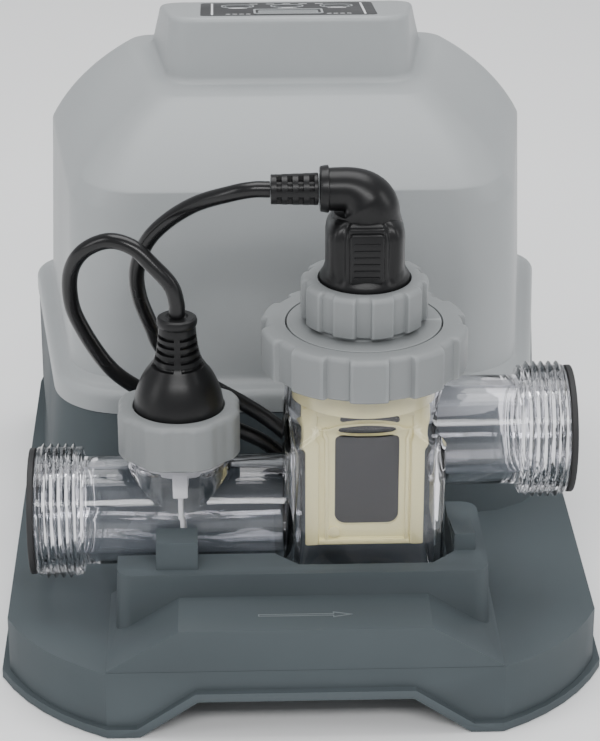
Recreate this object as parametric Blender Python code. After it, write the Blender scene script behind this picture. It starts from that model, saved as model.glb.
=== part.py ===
"""Salt chlorine generator: a clear cell manifold cradled in front of a free-standing control box.

Frame: metres, +Z up, origin on the ground under the middle of the base. Water flows along +X.
The manifold is on the -Y side, and the control panel slopes down towards the +Y side.
"""

from math import acos, atan2, cos, pi, radians, sin, tan

import bmesh
import bpy
from mathutils import Matrix, Vector

MM = 0.001
GAP = 0.3 * MM                      # clearance between touching pieces

# Base moulding
BASE_HALF_X = 133.5 * MM
BASE_FRONT_Y = -166.5 * MM
BASE_REAR_Y = 166.5 * MM
LIP_HEIGHT = 4 * MM
LIP_WIDTH = 3.5 * MM
PLATE_TOP = 30 * MM
DECK_TOP = 49.5 * MM
DECK_HALF_X = 54 * MM
CREASE_X = 85 * MM                  # where the straight front gives way to the side arcs
ARCH_TOP = 17 * MM
ARCH_HALF_TOP = 46 * MM
ARCH_HALF_FOOT = 71 * MM
BASE_WALL = 3 * MM
CRADLE_HALF_X = 82 * MM
CRADLE_FRONT_Y = -135.5 * MM
CRADLE_REAR_Y = -67.5 * MM
CRADLE_TOP = 60 * MM
BASE_BEND_Y = -114.5 * MM          # where the bowed corner meets the straight side
BASE_CORNER = 28 * MM
CORNER_BOW = 6 * MM
FLOOR_LOW = 5 * MM                  # the compartment's floor
FLOOR_HIGH = 8 * MM
UNDERSIDE_REAR_Y = -31 * MM

# Enclosure: pedestal, box shell and console
SEAM_Z = 80 * MM                    # top of the pedestal, where the box shell starts
FLANGE_FRONT_Y = -13.5 * MM
FLANGE_REAR_Y = 162.5 * MM
FLANGE_HALF_FRONT = 110.5 * MM
FLANGE_HALF_REAR = 132.3 * MM
PEDESTAL_FLARE = 10 * MM
BODY_INSET = 8 * MM
LEDGE_Z = 95.5 * MM
SHOULDER_Z = 178 * MM
CREASE_Z = 187 * MM
PLATEAU_Z = 218 * MM
PLATEAU_FRONT_Y = 41 * MM
PLATEAU_REAR_Y = 141 * MM
PLATEAU_HALF_FRONT = 63.5 * MM
PLATEAU_HALF_REAR = 80.5 * MM
DRAFT = radians(2)
SHELL_WALL = 3 * MM
BOX_STEPS = 4                       # facets round each corner of the enclosure
CONSOLE_TOP_FRONT = Vector((0, 64.5, 249.6)) * MM
CONSOLE_TILT = radians(10)          # the panel falls away towards +Y
CONSOLE_DEPTH = 64 * MM
LABEL_HALF_X = 42 * MM
LABEL_DEPTH = 54 * MM
LABEL_THICKNESS = 0.8 * MM
LABEL_V = 5 * MM                    # down the slope from the panel's front edge
WINDOW_V = 20 * MM
BUTTON_V = 43 * MM
BUTTON_XS = (-24 * MM, 0, 24 * MM)
BUTTON_NAMES = ("timer_button", "power_button", "boost_button")
POWER_GLAND = (60 * MM, 45 * MM)    # x and z in the pedestal's rear wall

# Manifold
PIPE_Y = -89.5 * MM
INLET_Z = 70 * MM
OUTLET_Z = 107 * MM
INLET_X = -116.5 * MM
OUTLET_X = 116 * MM
PIPE_RADIUS = 24 * MM
PIPE_BORE = 19.5 * MM
THREAD_RADIUS = 30 * MM
THREAD_ROOT = 28.4 * MM
THREAD_LENGTH = 20 * MM
RIM_DEPTH = 2.7 * MM
THREAD_CRESTS = 3
CELL_X = 27.5 * MM
HOUSING_HALF_X = 35 * MM
HOUSING_HALF_Y = 31 * MM
HOUSING_WALL = 3.2 * MM
NECK_SLEEVE = 34.6 * MM
HOUSING_FLOOR = 41.3 * MM
HOUSING_TOP = 122 * MM
NECK_RADIUS = 38.4 * MM             # over the collar's thread
NECK_BORE = 31.5 * MM
NECK_LOW = 112 * MM
NECK_THREAD_LOW = 141 * MM
NECK_TOP = 150 * MM
SENSOR_X = -53 * MM
BRANCH_RADIUS = 23 * MM
BRANCH_BORE = 18.5 * MM
BRANCH_TOP = 112 * MM
BRANCH_THREAD_LOW = 101 * MM
BRANCH_THREAD_RADIUS = 24.6 * MM
OUTLET_INNER_X = 55 * MM
PADDLE_PIVOT_Z = 86 * MM
PLATES = 5
FRAME_LOW = 59.7 * MM               # foot of the electrodes' frame
WINDOW_Z = 92.6 * MM                # middle of the window in it
PLATE_PITCH = 5 * MM

# Collars, cap and plugs
COLLAR_RADIUS = 45 * MM
COLLAR_LOW = 140.5 * MM
COLLAR_HIGH = 160 * MM
COLLAR_OPENING = 34 * MM
PLUG_COLLAR_RADIUS = 27.5 * MM
PLUG_COLLAR_LOW = 162 * MM
PLUG_COLLAR_HIGH = 180.5 * MM
SENSOR_COLLAR_RADIUS = 27.5 * MM
SENSOR_COLLAR_LOW = 100.5 * MM
SENSOR_COLLAR_HIGH = 121.5 * MM
PLUG_OPENING = 19.8 * MM            # the mouth of both small collars
PLUG_RADIUS = 17 * MM
RELIEF_Z = 220.4 * MM
RELIEF_END_X = -12.5 * MM
LEAD_RADIUS = 3.5 * MM
ELBOW_RADIUS = 11 * MM
ELBOW_BEND = 12 * MM                # its centreline

# Leads: points that their centrelines pass, in millimetres, from the gland to the plug
CELL_GLAND = (30, 62)               # x and z in the pedestal's front wall
SENSOR_GLAND = (8, 56)
GLAND_NOSE_Y = -28 * MM
CELL_LEAD = [
    (30, -28.3, 62), (30, -32.3, 62), (28.5, -39, 62.8), (24, -45, 65), (17, -49, 69),
    (8, -50.3, 75.5), (-1, -48.5, 82.5), (-9, -46, 89), (-16.7, -44, 94.3), (-25.4, -42.8, 99.8),
    (-44.3, -42.5, 111.9), (-60.2, -45.5, 127.9), (-65.3, -48.5, 141), (-70.1, -51.5, 156.4),
    (-70.7, -55.5, 171), (-66, -60.5, 185.7), (-56.9, -67.5, 198.1), (-44.1, -76.5, 209.4),
    (-29.6, -86, 217.3), (-20, -89.5, 220.4), (-12.8, -89.5, 220.4),
]
SENSOR_LEAD = [
    (8, -28.3, 56), (8, -32.3, 56), (6.5, -37.5, 58.5), (2, -42, 64), (-5, -44.5, 71.5),
    (-14, -44.5, 79.5), (-25, -43.5, 85.2), (-35.5, -43.5, 89.5), (-53.7, -44.5, 97.5),
    (-66, -46, 105.5), (-78.9, -49.5, 115.8), (-87.1, -53.5, 126.9), (-95, -58.5, 143.3),
    (-99.5, -63.5, 158.5), (-99, -69.5, 175.8), (-92.7, -75.5, 188), (-81.7, -80.5, 194.5),
    (-71.3, -84.5, 193), (-63.1, -87.5, 186), (-55.5, -89.3, 177.5), (-53, -89.5, 169),
    (-53, -89.5, 163.3),
]
LEAD_POINT_SPACING = 17             # millimetres, about 2.5 diameters


def clear_scene():
    for item in list(bpy.data.objects):
        bpy.data.objects.remove(item, do_unlink=True)


def material(name, colour, roughness, metallic=0.0, alpha=1.0):
    found = bpy.data.materials.get(name)
    if found:
        return found
    made = bpy.data.materials.new(name)
    made.use_nodes = True
    shader = made.node_tree.nodes["Principled BSDF"]
    shader.inputs["Base Color"].default_value = (*colour, 1)
    shader.inputs["Roughness"].default_value = roughness
    shader.inputs["Metallic"].default_value = metallic
    shader.inputs["Alpha"].default_value = alpha
    return made


def slate_plastic():
    return material("slate_plastic", (0.078, 0.102, 0.108), 0.5)


def grey_plastic():
    return material("grey_plastic", (0.36, 0.38, 0.39), 0.45)


def collar_plastic():
    return material("collar_plastic", (0.40, 0.42, 0.42), 0.45)


def clear_plastic():
    return material("clear_plastic", (0.85, 0.85, 0.9), 0.08, alpha=0.35)


def black_rubber():
    return material("black_rubber", (0.012, 0.012, 0.013), 0.4)


def cream_plastic():
    return material("cream_plastic", (0.72, 0.68, 0.45), 0.4)


def titanium():
    return material("titanium", (0.09, 0.085, 0.09), 0.5, metallic=0.6)


def steel():
    return material("steel", (0.55, 0.55, 0.56), 0.3, metallic=1.0)


def board_green():
    return material("board_green", (0.02, 0.12, 0.05), 0.5)


def new_object(name, shape, finish, origin=(0, 0, 0)):
    """Turns a bmesh in world coordinates into an object whose origin is at a chosen point."""
    bmesh.ops.recalc_face_normals(shape, faces=shape.faces)
    bmesh.ops.translate(shape, verts=shape.verts, vec=-Vector(origin))
    mesh = bpy.data.meshes.new(name)
    shape.to_mesh(mesh)
    shape.free()
    made = bpy.data.objects.new(name, mesh)
    made.location = origin
    bpy.context.scene.collection.objects.link(made)
    if finish:
        made.data.materials.append(finish)
    mesh.shade_smooth()
    mesh.set_sharp_from_angle(angle=radians(35))
    return made


def combine(target, tool, operation):
    """Joins or cuts target with tool, and removes the tool."""
    step = target.modifiers.new("step", "BOOLEAN")
    step.object = tool
    step.operation = operation
    step.solver = "EXACT"
    bpy.context.view_layer.update()
    result = bpy.data.meshes.new_from_object(
        target.evaluated_get(bpy.context.evaluated_depsgraph_get())
    )
    target.modifiers.clear()
    old = target.data
    target.data = result
    result.name = target.name
    bpy.data.meshes.remove(old)
    bpy.data.objects.remove(tool, do_unlink=True)


def cut(target, *tools):
    for tool in tools:
        combine(target, tool, "DIFFERENCE")


def join(target, *tools):
    for tool in tools:
        combine(target, tool, "UNION")


def loft_shape(rings):
    """A closed solid through rings of equal length, capped at both ends."""
    shape = bmesh.new()
    rows = [[shape.verts.new(point) for point in ring] for ring in rings]
    count = len(rings[0])
    for low, high in zip(rows, rows[1:]):
        for i in range(count):
            j = (i + 1) % count
            shape.faces.new((low[i], low[j], high[j], high[i]))
    shape.faces.new(list(reversed(rows[0])))
    shape.faces.new(rows[-1])
    return shape


def loft(name, rings, finish=None, origin=(0, 0, 0)):
    return new_object(name, loft_shape(rings), finish, origin)


def prism(name, outline, low, high, finish=None, origin=(0, 0, 0)):
    """An (x, y) outline raised from low to high."""
    rings = [[Vector((x, y, z)) for x, y in outline] for z in (low, high)]
    return loft(name, rings, finish, origin)


def front_prism(name, outline, front, rear, finish=None):
    """An (x, z) outline, anticlockwise seen from the front, run back from front to rear."""
    rings = [[Vector((x, y, z)) for x, z in outline] for y in (front, rear)]
    return loft(name, rings, finish)


def block(name, low, high, finish=None, origin=(0, 0, 0)):
    x0, y0, z0 = low
    x1, y1, z1 = high
    return prism(name, [(x0, y0), (x1, y0), (x1, y1), (x0, y1)], z0, z1, finish, origin)


def turned(name, profile, centre, finish=None, axis="Z", segments=24, origin=None):
    """Spins a (radius, height) profile about an axis through centre. One that starts and ends on the
    axis is capped by flat discs; any other closes on itself, as a ring."""
    shape = bmesh.new()
    turn = {"Z": Matrix.Identity(3), "X": Matrix.Rotation(pi / 2, 3, "Y"),
            "Y": Matrix.Rotation(-pi / 2, 3, "X")}[axis]
    phase = 0.5 if axis == "Z" else 0.23        # keeps crossing cylinders' edges apart
    centre = Vector(centre)
    angles = [2 * pi * (k + phase) / segments for k in range(segments)]
    rows = []
    for radius, height in profile:
        if radius > 0:
            rows.append([
                shape.verts.new(centre + turn @ Vector((radius * cos(a), radius * sin(a), height)))
                for a in angles
            ])
    solid = profile[0][0] <= 0
    for here, ahead in zip(rows, rows[1:] + ([] if solid else rows[:1])):
        for i in range(segments):
            j = (i + 1) % segments
            shape.faces.new((here[i], here[j], ahead[j], ahead[i]))
    if solid:
        shape.faces.new(list(reversed(rows[0])))
        shape.faces.new(rows[-1])
    return new_object(name, shape, finish, centre if origin is None else origin)


def cylinder(name, radius, low, high, centre, finish=None, axis="Z", segments=24):
    profile = [(0, low), (radius, low), (radius, high), (0, high)]
    return turned(name, profile, centre, finish, axis, segments)


def ring(name, inner, outer, low, high, centre, finish=None, axis="Z", segments=24):
    profile = [(inner, low), (outer, low), (outer, high), (inner, high)]
    return turned(name, profile, centre, finish, axis, segments)


def rounded(corners, steps=6):
    """Anticlockwise outline through (x, y, radius) corners, each turned as an arc."""
    outline = []
    for i, (x, y, radius) in enumerate(corners):
        here = Vector((x, y))
        back = (Vector(corners[i - 1][:2]) - here).normalized()
        ahead = (Vector(corners[(i + 1) % len(corners)][:2]) - here).normalized()
        if radius <= 0:
            outline.append(tuple(here))
            continue
        half = back.angle(ahead) / 2
        centre = here + (back + ahead).normalized() * radius / sin(half)
        start = here + back * radius / tan(half) - centre
        sweep = pi - 2 * half
        if back.x * ahead.y - back.y * ahead.x > 0:
            sweep = -sweep
        first = atan2(start.y, start.x)
        for k in range(steps + 1):
            angle = first + sweep * k / steps
            outline.append((centre.x + radius * cos(angle), centre.y + radius * sin(angle)))
    return outline


def mirrored_rect(half_x, low_y, high_y, radius, steps=4, middle_x=0.0):
    return rounded([
        (middle_x - half_x, low_y, radius), (middle_x + half_x, low_y, radius),
        (middle_x + half_x, high_y, radius), (middle_x - half_x, high_y, radius),
    ], steps)


def bowed(start, end, bulge, steps):
    """Points after start, up to end, on an arc that stands out to the right of the way by bulge."""
    start, end = Vector(start), Vector(end)
    chord = end - start
    out = Vector((chord.y, -chord.x)).normalized()
    return [
        tuple(start + chord * k / steps + out * bulge * 4 * (k / steps) * (1 - k / steps))
        for k in range(1, steps + 1)
    ]


def smooth_route(points, spacing):
    """Points about spacing apart on a smooth curve through the given ones, in millimetres."""
    route = [Vector(p) for p in points]
    ends = [2 * route[0] - route[1]] + route + [2 * route[-1] - route[-2]]
    dense = []
    for a, b, c, d in zip(ends, ends[1:], ends[2:], ends[3:]):
        for k in range(20):
            t = k / 20
            dense.append(0.5 * (
                2 * b + (c - a) * t + (2 * a - 5 * b + 4 * c - d) * t * t
                + (3 * b - a - 3 * c + d) * t ** 3))
    dense.append(route[-1])
    lengths = [0.0]
    for a, b in zip(dense, dense[1:]):
        lengths.append(lengths[-1] + (b - a).length)
    count = max(2, round(lengths[-1] / spacing))
    result, at = [], 0
    for k in range(count + 1):
        wanted = lengths[-1] * k / count
        while at < len(dense) - 2 and lengths[at + 1] < wanted:
            at += 1
        share = (wanted - lengths[at]) / max(lengths[at + 1] - lengths[at], 1e-9)
        result.append(dense[at].lerp(dense[at + 1], min(share, 1)))
    return result


# ---------------------------------------------------------------- base

def mirrored(right):
    """Closes an anticlockwise right half, front to rear, with its mirror image."""
    return right + [(-x, y) for x, y in reversed(right)]


def base_side(inset):
    """Right half of the base's plan as far as the straight side: crease, then the bowed corner."""
    crease = (CREASE_X + inset * 0.1, BASE_FRONT_Y + inset)
    bend = (BASE_HALF_X - inset, BASE_BEND_Y)
    return [crease] + bowed(crease, bend, CORNER_BOW, 6)


def base_outline(inset):
    rear = BASE_REAR_Y - inset
    side = BASE_HALF_X - inset
    corner = [
        (side - BASE_CORNER * (1 - cos(pi / 2 * k / 5)), rear - BASE_CORNER * (1 - sin(pi / 2 * k / 5)))
        for k in range(6)
    ]
    return mirrored(base_side(inset) + corner)


def arch_line(drop):
    """Underside of the front, left to right: foot, diagonal, raised middle, diagonal, foot."""
    right = [(ARCH_HALF_TOP, ARCH_TOP - drop), (ARCH_HALF_FOOT, -drop)]
    return [(-x, z) for x, z in reversed(right)] + right


def enclosure_outline(inset, steps=BOX_STEPS):
    """Plan of the enclosure: it widens towards the rear, and every corner is round."""
    front = FLANGE_FRONT_Y + inset
    rear = FLANGE_REAR_Y - inset
    slope = (FLANGE_HALF_REAR - FLANGE_HALF_FRONT) / (FLANGE_REAR_Y - FLANGE_FRONT_Y)
    half_front = FLANGE_HALF_FRONT + slope * inset - inset
    half_rear = FLANGE_HALF_REAR - slope * inset - inset
    nose = max(36 * MM - inset * 0.5, 12 * MM)
    tail = max(20 * MM - inset * 0.5, 8 * MM)
    return rounded([
        (-half_front, front, nose), (half_front, front, nose),
        (half_rear, rear, tail), (-half_rear, rear, tail),
    ], steps)


def at_height(outline, z):
    return [Vector((x, y, z)) for x, y in outline]


def deck_profile(wall):
    """Front view of the raised deck: level middle, with wings falling to the creases."""
    right = [
        (CREASE_X - wall, 10 * MM), (CREASE_X - wall, PLATE_TOP + 0.5 * MM - wall),
        (DECK_HALF_X, DECK_TOP - wall),
    ]
    return mirrored(right)


def flared_foot():
    """Plan of the pedestal where it meets the plate, kept inside the plate's edge."""
    half_x = BASE_HALF_X - LIP_WIDTH - 0.6 * MM
    rear = BASE_REAR_Y - LIP_WIDTH - 0.6 * MM
    return [
        (min(max(x, -half_x), half_x), min(y, rear)) for x, y in enclosure_outline(-PEDESTAL_FLARE)
    ]


def add_pedestal(base):
    foot = flared_foot()
    top = enclosure_outline(0.5 * MM)
    middle = [(a[0] * 0.35 + b[0] * 0.65, a[1] * 0.35 + b[1] * 0.65) for a, b in zip(foot, top)]
    rings = [at_height(foot, 25 * MM), at_height(middle, 45 * MM), at_height(top, SEAM_Z)]
    join(base, loft("pedestal", rings))


def add_cradle(base):
    """The block that the manifold lies in, with its trough, housing notch and two clips."""
    lower = mirrored_rect(CRADLE_HALF_X, CRADLE_FRONT_Y, CRADLE_REAR_Y, 7 * MM)
    upper = mirrored_rect(CRADLE_HALF_X - 1.5 * MM, CRADLE_FRONT_Y + 3 * MM, CRADLE_REAR_Y, 7 * MM)
    join(base, loft("cradle", [at_height(lower, 20 * MM), at_height(upper, CRADLE_TOP)]))
    reach = HOUSING_HALF_X + 4 * MM
    low, high = CELL_X - reach, CELL_X + reach
    notch = [
        (low + 10 * MM, -124.5 * MM), (high - 10 * MM, -124.5 * MM), (high, -114.5 * MM),
        (high, -50 * MM), (low, -50 * MM), (low, -114.5 * MM),
    ]
    axis_point = (0, PIPE_Y, INLET_Z)
    cut(base, cylinder("trough", 26.5 * MM, -100 * MM, -8 * MM, axis_point, axis="X"),
        prism("notch", notch, HOUSING_FLOOR - GAP, 90 * MM))
    clip = block("clip", (-63.5 * MM, -127.5 * MM, 55 * MM), (-45.5 * MM, -105 * MM, 73 * MM))
    cut(clip, cylinder("pipe_room", PIPE_RADIUS + GAP, -100 * MM, -8 * MM, axis_point, axis="X"))
    wedge = front_prism("wedge", [
        (66.8 * MM, 55 * MM), (76 * MM, 55 * MM), (76 * MM, 68 * MM), (66.8 * MM, 68 * MM),
    ], -113.5 * MM, -78 * MM)
    for vertex in wedge.data.vertices:
        if vertex.co.z > CRADLE_TOP and vertex.co.y > -90 * MM:
            vertex.co.z = CRADLE_TOP - 1 * MM
    join(base, clip, wedge)


def make_base():
    base = prism("base", base_outline(0), 0, LIP_HEIGHT, slate_plastic())
    join(base, prism("plate", base_outline(LIP_WIDTH), LIP_HEIGHT / 2, PLATE_TOP))
    join(base, front_prism("deck", deck_profile(0), BASE_FRONT_Y + LIP_WIDTH + 0.2 * MM, -95 * MM))
    lip = arch_line(1 * MM) + [(x * 1.02, z) for x, z in reversed(arch_line(-LIP_HEIGHT))]
    lip = [(x, max(z, 0.5 * MM)) for x, z in lip]
    join(base, front_prism("arch_lip", lip, BASE_FRONT_Y, BASE_FRONT_Y + 6 * MM))
    add_pedestal(base)
    add_cradle(base)
    cut(base, front_prism("arch", arch_line(0) + [(ARCH_HALF_FOOT, -5 * MM), (-ARCH_HALF_FOOT, -5 * MM)],
                          BASE_FRONT_Y - 5 * MM, BASE_FRONT_Y + 15 * MM))
    wall = LIP_WIDTH + BASE_WALL
    side = base_side(wall) + [(BASE_HALF_X - wall, UNDERSIDE_REAR_Y)]
    cut(base, prism("underside", base_outline(wall), -5 * MM, FLOOR_LOW),
        prism("front_room", mirrored(side), 0, PLATE_TOP - BASE_WALL),
        front_prism("deck_room", deck_profile(BASE_WALL), BASE_FRONT_Y + wall + 0.2 * MM, -138.5 * MM),
        prism("compartment", enclosure_outline(BASE_WALL + 0.5 * MM), FLOOR_HIGH, SEAM_Z + 5 * MM))
    return base


def bore_base(base):
    """Openings in the pedestal for the glands, and in the floor for the box screws."""
    for x, z in (CELL_GLAND, SENSOR_GLAND):
        centre = (x * MM, 0, z * MM)
        cut(base, cylinder("gland_hole", 6 * MM, -35 * MM, 5 * MM, centre, axis="Y", segments=20))
    x, z = POWER_GLAND
    cut(base, cylinder("inlet_hole", 6 * MM, 150 * MM, 170 * MM, (x, 0, z), axis="Y", segments=20))
    for x, y in screw_places():
        cut(base, cylinder("screw_hole", 2.4 * MM, 0, 12 * MM, (x, y, 0), segments=16))


# ---------------------------------------------------------------- box shell

def mix(first, second, share):
    return first + (second - first) * share


def lean(share, steep, shallow):
    """Inset share reached at a height share, on an arc whose slope falls from steep to shallow."""
    slope = acos(cos(steep) + share * (cos(shallow) - cos(steep)))
    return (sin(steep) - sin(slope)) / (sin(steep) - sin(shallow))


def body_ring(z, wall=0.0):
    """Plan of the body at height z: drafted walls, then shoulders leaning in to the plateau."""
    top = PLATEAU_Z - wall
    side = max(0.0, (z - SHOULDER_Z) / (top - SHOULDER_Z))
    front = max(0.0, (z - CREASE_Z) / (top - CREASE_Z))
    side = lean(min(side, 1), radians(70), radians(36))
    front = lean(min(front, 1), radians(52), radians(33))
    draft = (z - LEDGE_Z) * tan(DRAFT) + wall + BODY_INSET
    slope = (FLANGE_HALF_REAR - FLANGE_HALF_FRONT) / (FLANGE_REAR_Y - FLANGE_FRONT_Y)
    front_y = mix(FLANGE_FRONT_Y + draft, PLATEAU_FRONT_Y + wall, front)
    rear_y = mix(FLANGE_REAR_Y - draft, PLATEAU_REAR_Y - wall, side)
    half_front = mix(FLANGE_HALF_FRONT - draft + slope * draft, PLATEAU_HALF_FRONT - wall, side)
    half_rear = mix(FLANGE_HALF_REAR - draft - slope * draft, PLATEAU_HALF_REAR - wall, side)
    nose = mix(32 * MM, 15 * MM, side) - wall * 0.5
    tail = mix(18 * MM, 12 * MM, side) - wall * 0.5
    return at_height(rounded([
        (-half_front, front_y, nose), (half_front, front_y, nose),
        (half_rear, rear_y, tail), (-half_rear, rear_y, tail),
    ], BOX_STEPS), z)


def console_ring(y_front, y_rear, half_front, half_rear, z, wall=0.0):
    return at_height(rounded([
        (-half_front + wall, y_front + wall, 17 * MM - wall),
        (half_front - wall, y_front + wall, 17 * MM - wall),
        (half_rear - wall, y_rear - wall, 8 * MM - wall), (-half_rear + wall, y_rear - wall, 8 * MM - wall),
    ], 4), z)


def panel_height(y):
    """Height of the sloping panel over a place in plan."""
    return CONSOLE_TOP_FRONT.z - (y - CONSOLE_TOP_FRONT.y) * tan(CONSOLE_TILT)


def console_rings(wall):
    """The console as a loft whose top follows the sloping panel, with a softened edge."""
    front, rear = CONSOLE_TOP_FRONT.y, CONSOLE_TOP_FRONT.y + CONSOLE_DEPTH
    foot = console_ring(front - 5.5 * MM, rear + 19 * MM, 62.5 * MM, 71 * MM, 200 * MM, wall)
    rings = [foot]
    steps = [(2 * MM, 0)] if wall else [(2 * MM, 3.5 * MM), (1.2 * MM, 1.2 * MM), (-1 * MM, 0)]
    for spread, drop in steps:
        ring = console_ring(front - spread, rear + spread, 55 * MM + spread, 61 * MM + spread, 0, wall)
        rings.append([Vector((p.x, p.y, panel_height(p.y) - drop - wall)) for p in ring])
    return rings


def on_panel(made):
    """Moves an object built flat on z=0 onto the panel: its y runs down the slope."""
    place = Matrix.Translation(CONSOLE_TOP_FRONT) @ Matrix.Rotation(-CONSOLE_TILT, 4, "X")
    made.data.transform(place @ Matrix.Translation(made.location))
    made.location = (0, 0, 0)
    return made


def button_outline(x, grow=0.0):
    return mirrored_rect_at(x, BUTTON_V, 6 * MM + grow, 4 * MM + grow, 3.4 * MM + grow)


def mirrored_rect_at(x, y, half_x, half_y, radius, steps=4):
    return mirrored_rect(half_x, y - half_y, y + half_y, radius, steps, x)


def window_outline(grow=0.0):
    return mirrored_rect_at(0, WINDOW_V, 14 * MM + grow, 7 * MM + grow, 1.5 * MM + grow, 2)


def make_box_shell():
    heights = [LEDGE_Z, SHOULDER_Z, 182 * MM, CREASE_Z, 196 * MM, 205 * MM, 213 * MM, PLATEAU_Z]
    rings = [at_height(enclosure_outline(inset), z) for inset, z in (
        (0, SEAM_Z + GAP), (0, 88 * MM), (1.2 * MM, 91.6 * MM), (4 * MM, 94 * MM))]
    shell = loft("box_shell", rings + [body_ring(z) for z in heights], grey_plastic())
    join(shell, loft("console", console_rings(0)))
    room = [at_height(enclosure_outline(inset), z) for inset, z in (
        (SHELL_WALL + 0.5 * MM, SEAM_Z - 2 * MM), (SHELL_WALL + 0.5 * MM, 88 * MM),
        (BODY_INSET + SHELL_WALL, 92.5 * MM))]
    room += [body_ring(z, SHELL_WALL) for z in (SHOULDER_Z, CREASE_Z, 200 * MM, PLATEAU_Z - SHELL_WALL)]
    cut(shell, loft("room", room), loft("console_room", console_rings(SHELL_WALL)))
    cut(shell, prism("gasket_rebate", enclosure_outline(1 * MM), SEAM_Z - 1 * MM, SEAM_Z + 1.9 * MM))
    for x, y in screw_places():
        join(shell, cylinder("boss", 4.5 * MM, FLOOR_HIGH + 1 * MM, 96 * MM, (x, y, 0), segments=20))
        cut(shell, cylinder("boss_hole", 2.4 * MM, 0, 32 * MM, (x, y, 0), segments=16))
    recess = mirrored_rect(LABEL_HALF_X + GAP, LABEL_V - GAP, LABEL_V + LABEL_DEPTH + GAP, 3 * MM)
    cut(shell, on_panel(prism("recess", recess, -LABEL_THICKNESS - GAP, 5 * MM)))
    cut(shell, on_panel(prism("window_hole", window_outline(GAP), -8 * MM, 5 * MM)))
    for x in BUTTON_XS:
        cut(shell, on_panel(prism("button_hole", button_outline(x, 0.4 * MM), -8 * MM, 5 * MM)))
    for x in (-33 * MM, 33 * MM):
        for y in (12 * MM, 50 * MM):
            join(shell, on_panel(cylinder("post", 2.5 * MM, -7.9 * MM, -2.2 * MM, (x, y, 0), segments=12)))
    return shell


def screw_places():
    """The four box screws stand inside the enclosure's corners."""
    return [(-94 * MM, 7 * MM), (94 * MM, 7 * MM), (116 * MM, 147 * MM), (-116 * MM, 147 * MM)]


def make_gasket():
    gasket = prism("box_gasket", enclosure_outline(1.3 * MM), SEAM_Z + GAP, SEAM_Z + 1.6 * MM, black_rubber())
    cut(gasket, prism("inner", enclosure_outline(3.2 * MM), SEAM_Z - 1 * MM, SEAM_Z + 4 * MM))


def make_console_parts():
    """Membrane label, display window, keys, and the display board that they work on."""
    outline = mirrored_rect(LABEL_HALF_X, LABEL_V, LABEL_V + LABEL_DEPTH, 2.7 * MM)
    label = prism("console_label", outline, -LABEL_THICKNESS, 0, black_rubber())
    cut(label, prism("opening", window_outline(GAP), -5 * MM, 5 * MM))
    for x in BUTTON_XS:
        cut(label, prism("opening", button_outline(x, 0.4 * MM), -5 * MM, 5 * MM))
    on_panel(label)
    on_panel(prism("display_window", window_outline(), -2.6 * MM, 0, clear_plastic()))
    board = prism("display_board", mirrored_rect(38 * MM, 8 * MM, 54 * MM, 2 * MM), -9.8 * MM, -8.2 * MM,
                  board_green())
    for x in BUTTON_XS:
        join(board, cylinder("switch", 2 * MM, -9 * MM, -6.1 * MM, (x, BUTTON_V, 0), segments=12))
    on_panel(board)
    on_panel(prism("display_module", mirrored_rect_at(0, WINDOW_V, 13 * MM, 6 * MM, 0.5 * MM, 1),
                   -7.9 * MM, -3 * MM, black_rubber()))
    for name, x in zip(BUTTON_NAMES, BUTTON_XS):
        rings = [at_height(button_outline(x, grow), z) for grow, z in (
            (1.2 * MM, -5.2 * MM), (1.2 * MM, -4 * MM), (0, -3.9 * MM), (0, -0.3 * MM), (-0.4 * MM, 0))]
        key = on_panel(loft(name, rings, black_rubber()))
        centre = CONSOLE_TOP_FRONT + Matrix.Rotation(-CONSOLE_TILT, 3, "X") @ Vector((x, BUTTON_V, 0))
        key.data.transform(Matrix.Translation(-centre))
        key.location = centre


def make_screws():
    for number, (x, y) in enumerate(screw_places(), 1):
        profile = [(0, 1.6 * MM), (3.6 * MM, 1.6 * MM), (4 * MM, 2.4 * MM), (4 * MM, FLOOR_LOW - GAP),
                   (2 * MM, FLOOR_LOW - GAP), (2 * MM, 27 * MM), (0, 29 * MM)]
        turned(f"box_screw_{number}", profile, (x, y, 0), steel(), segments=16)


def make_electronics():
    """What the enclosure holds: transformer on the floor, and the power board on its standoffs."""
    core = block("transformer", (-85 * MM, 40 * MM, FLOOR_HIGH + GAP), (-25 * MM, 92 * MM, 54 * MM), steel())
    coil = mirrored_rect(20 * MM, 30 * MM, 102 * MM, 6 * MM, 3, -55 * MM)
    join(core, prism("coil", coil, 16 * MM, 46 * MM))
    board = block("power_board", (-10 * MM, 20 * MM, 18 * MM), (95 * MM, 125 * MM, 19.6 * MM), board_green())
    for x, y in ((-4, 26), (89, 26), (89, 119), (-4, 119)):
        join(board, cylinder("standoff", 3 * MM, FLOOR_HIGH + GAP, 19 * MM, (x * MM, y * MM, 0), segments=12))
    for x, y, radius, height in ((15, 50, 9, 50), (37, 50, 9, 50), (20, 95, 6, 42)):
        foot = (x * MM, y * MM, 0)
        join(board, cylinder("capacitor", radius * MM, 19 * MM, height * MM, foot, segments=16))
    join(board, block("relay", (55 * MM, 85 * MM, 19 * MM), (78 * MM, 105 * MM, 36 * MM)))
    fins = block("heat_sink", (60 * MM, 35 * MM, 20 * MM), (86 * MM, 66 * MM, 24 * MM), steel())
    for k in range(5):
        x = (60 + 5.5 * k) * MM
        join(fins, block("fin", (x, 35 * MM, 23 * MM), (x + 2.2 * MM, 66 * MM, 48 * MM)))


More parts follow.
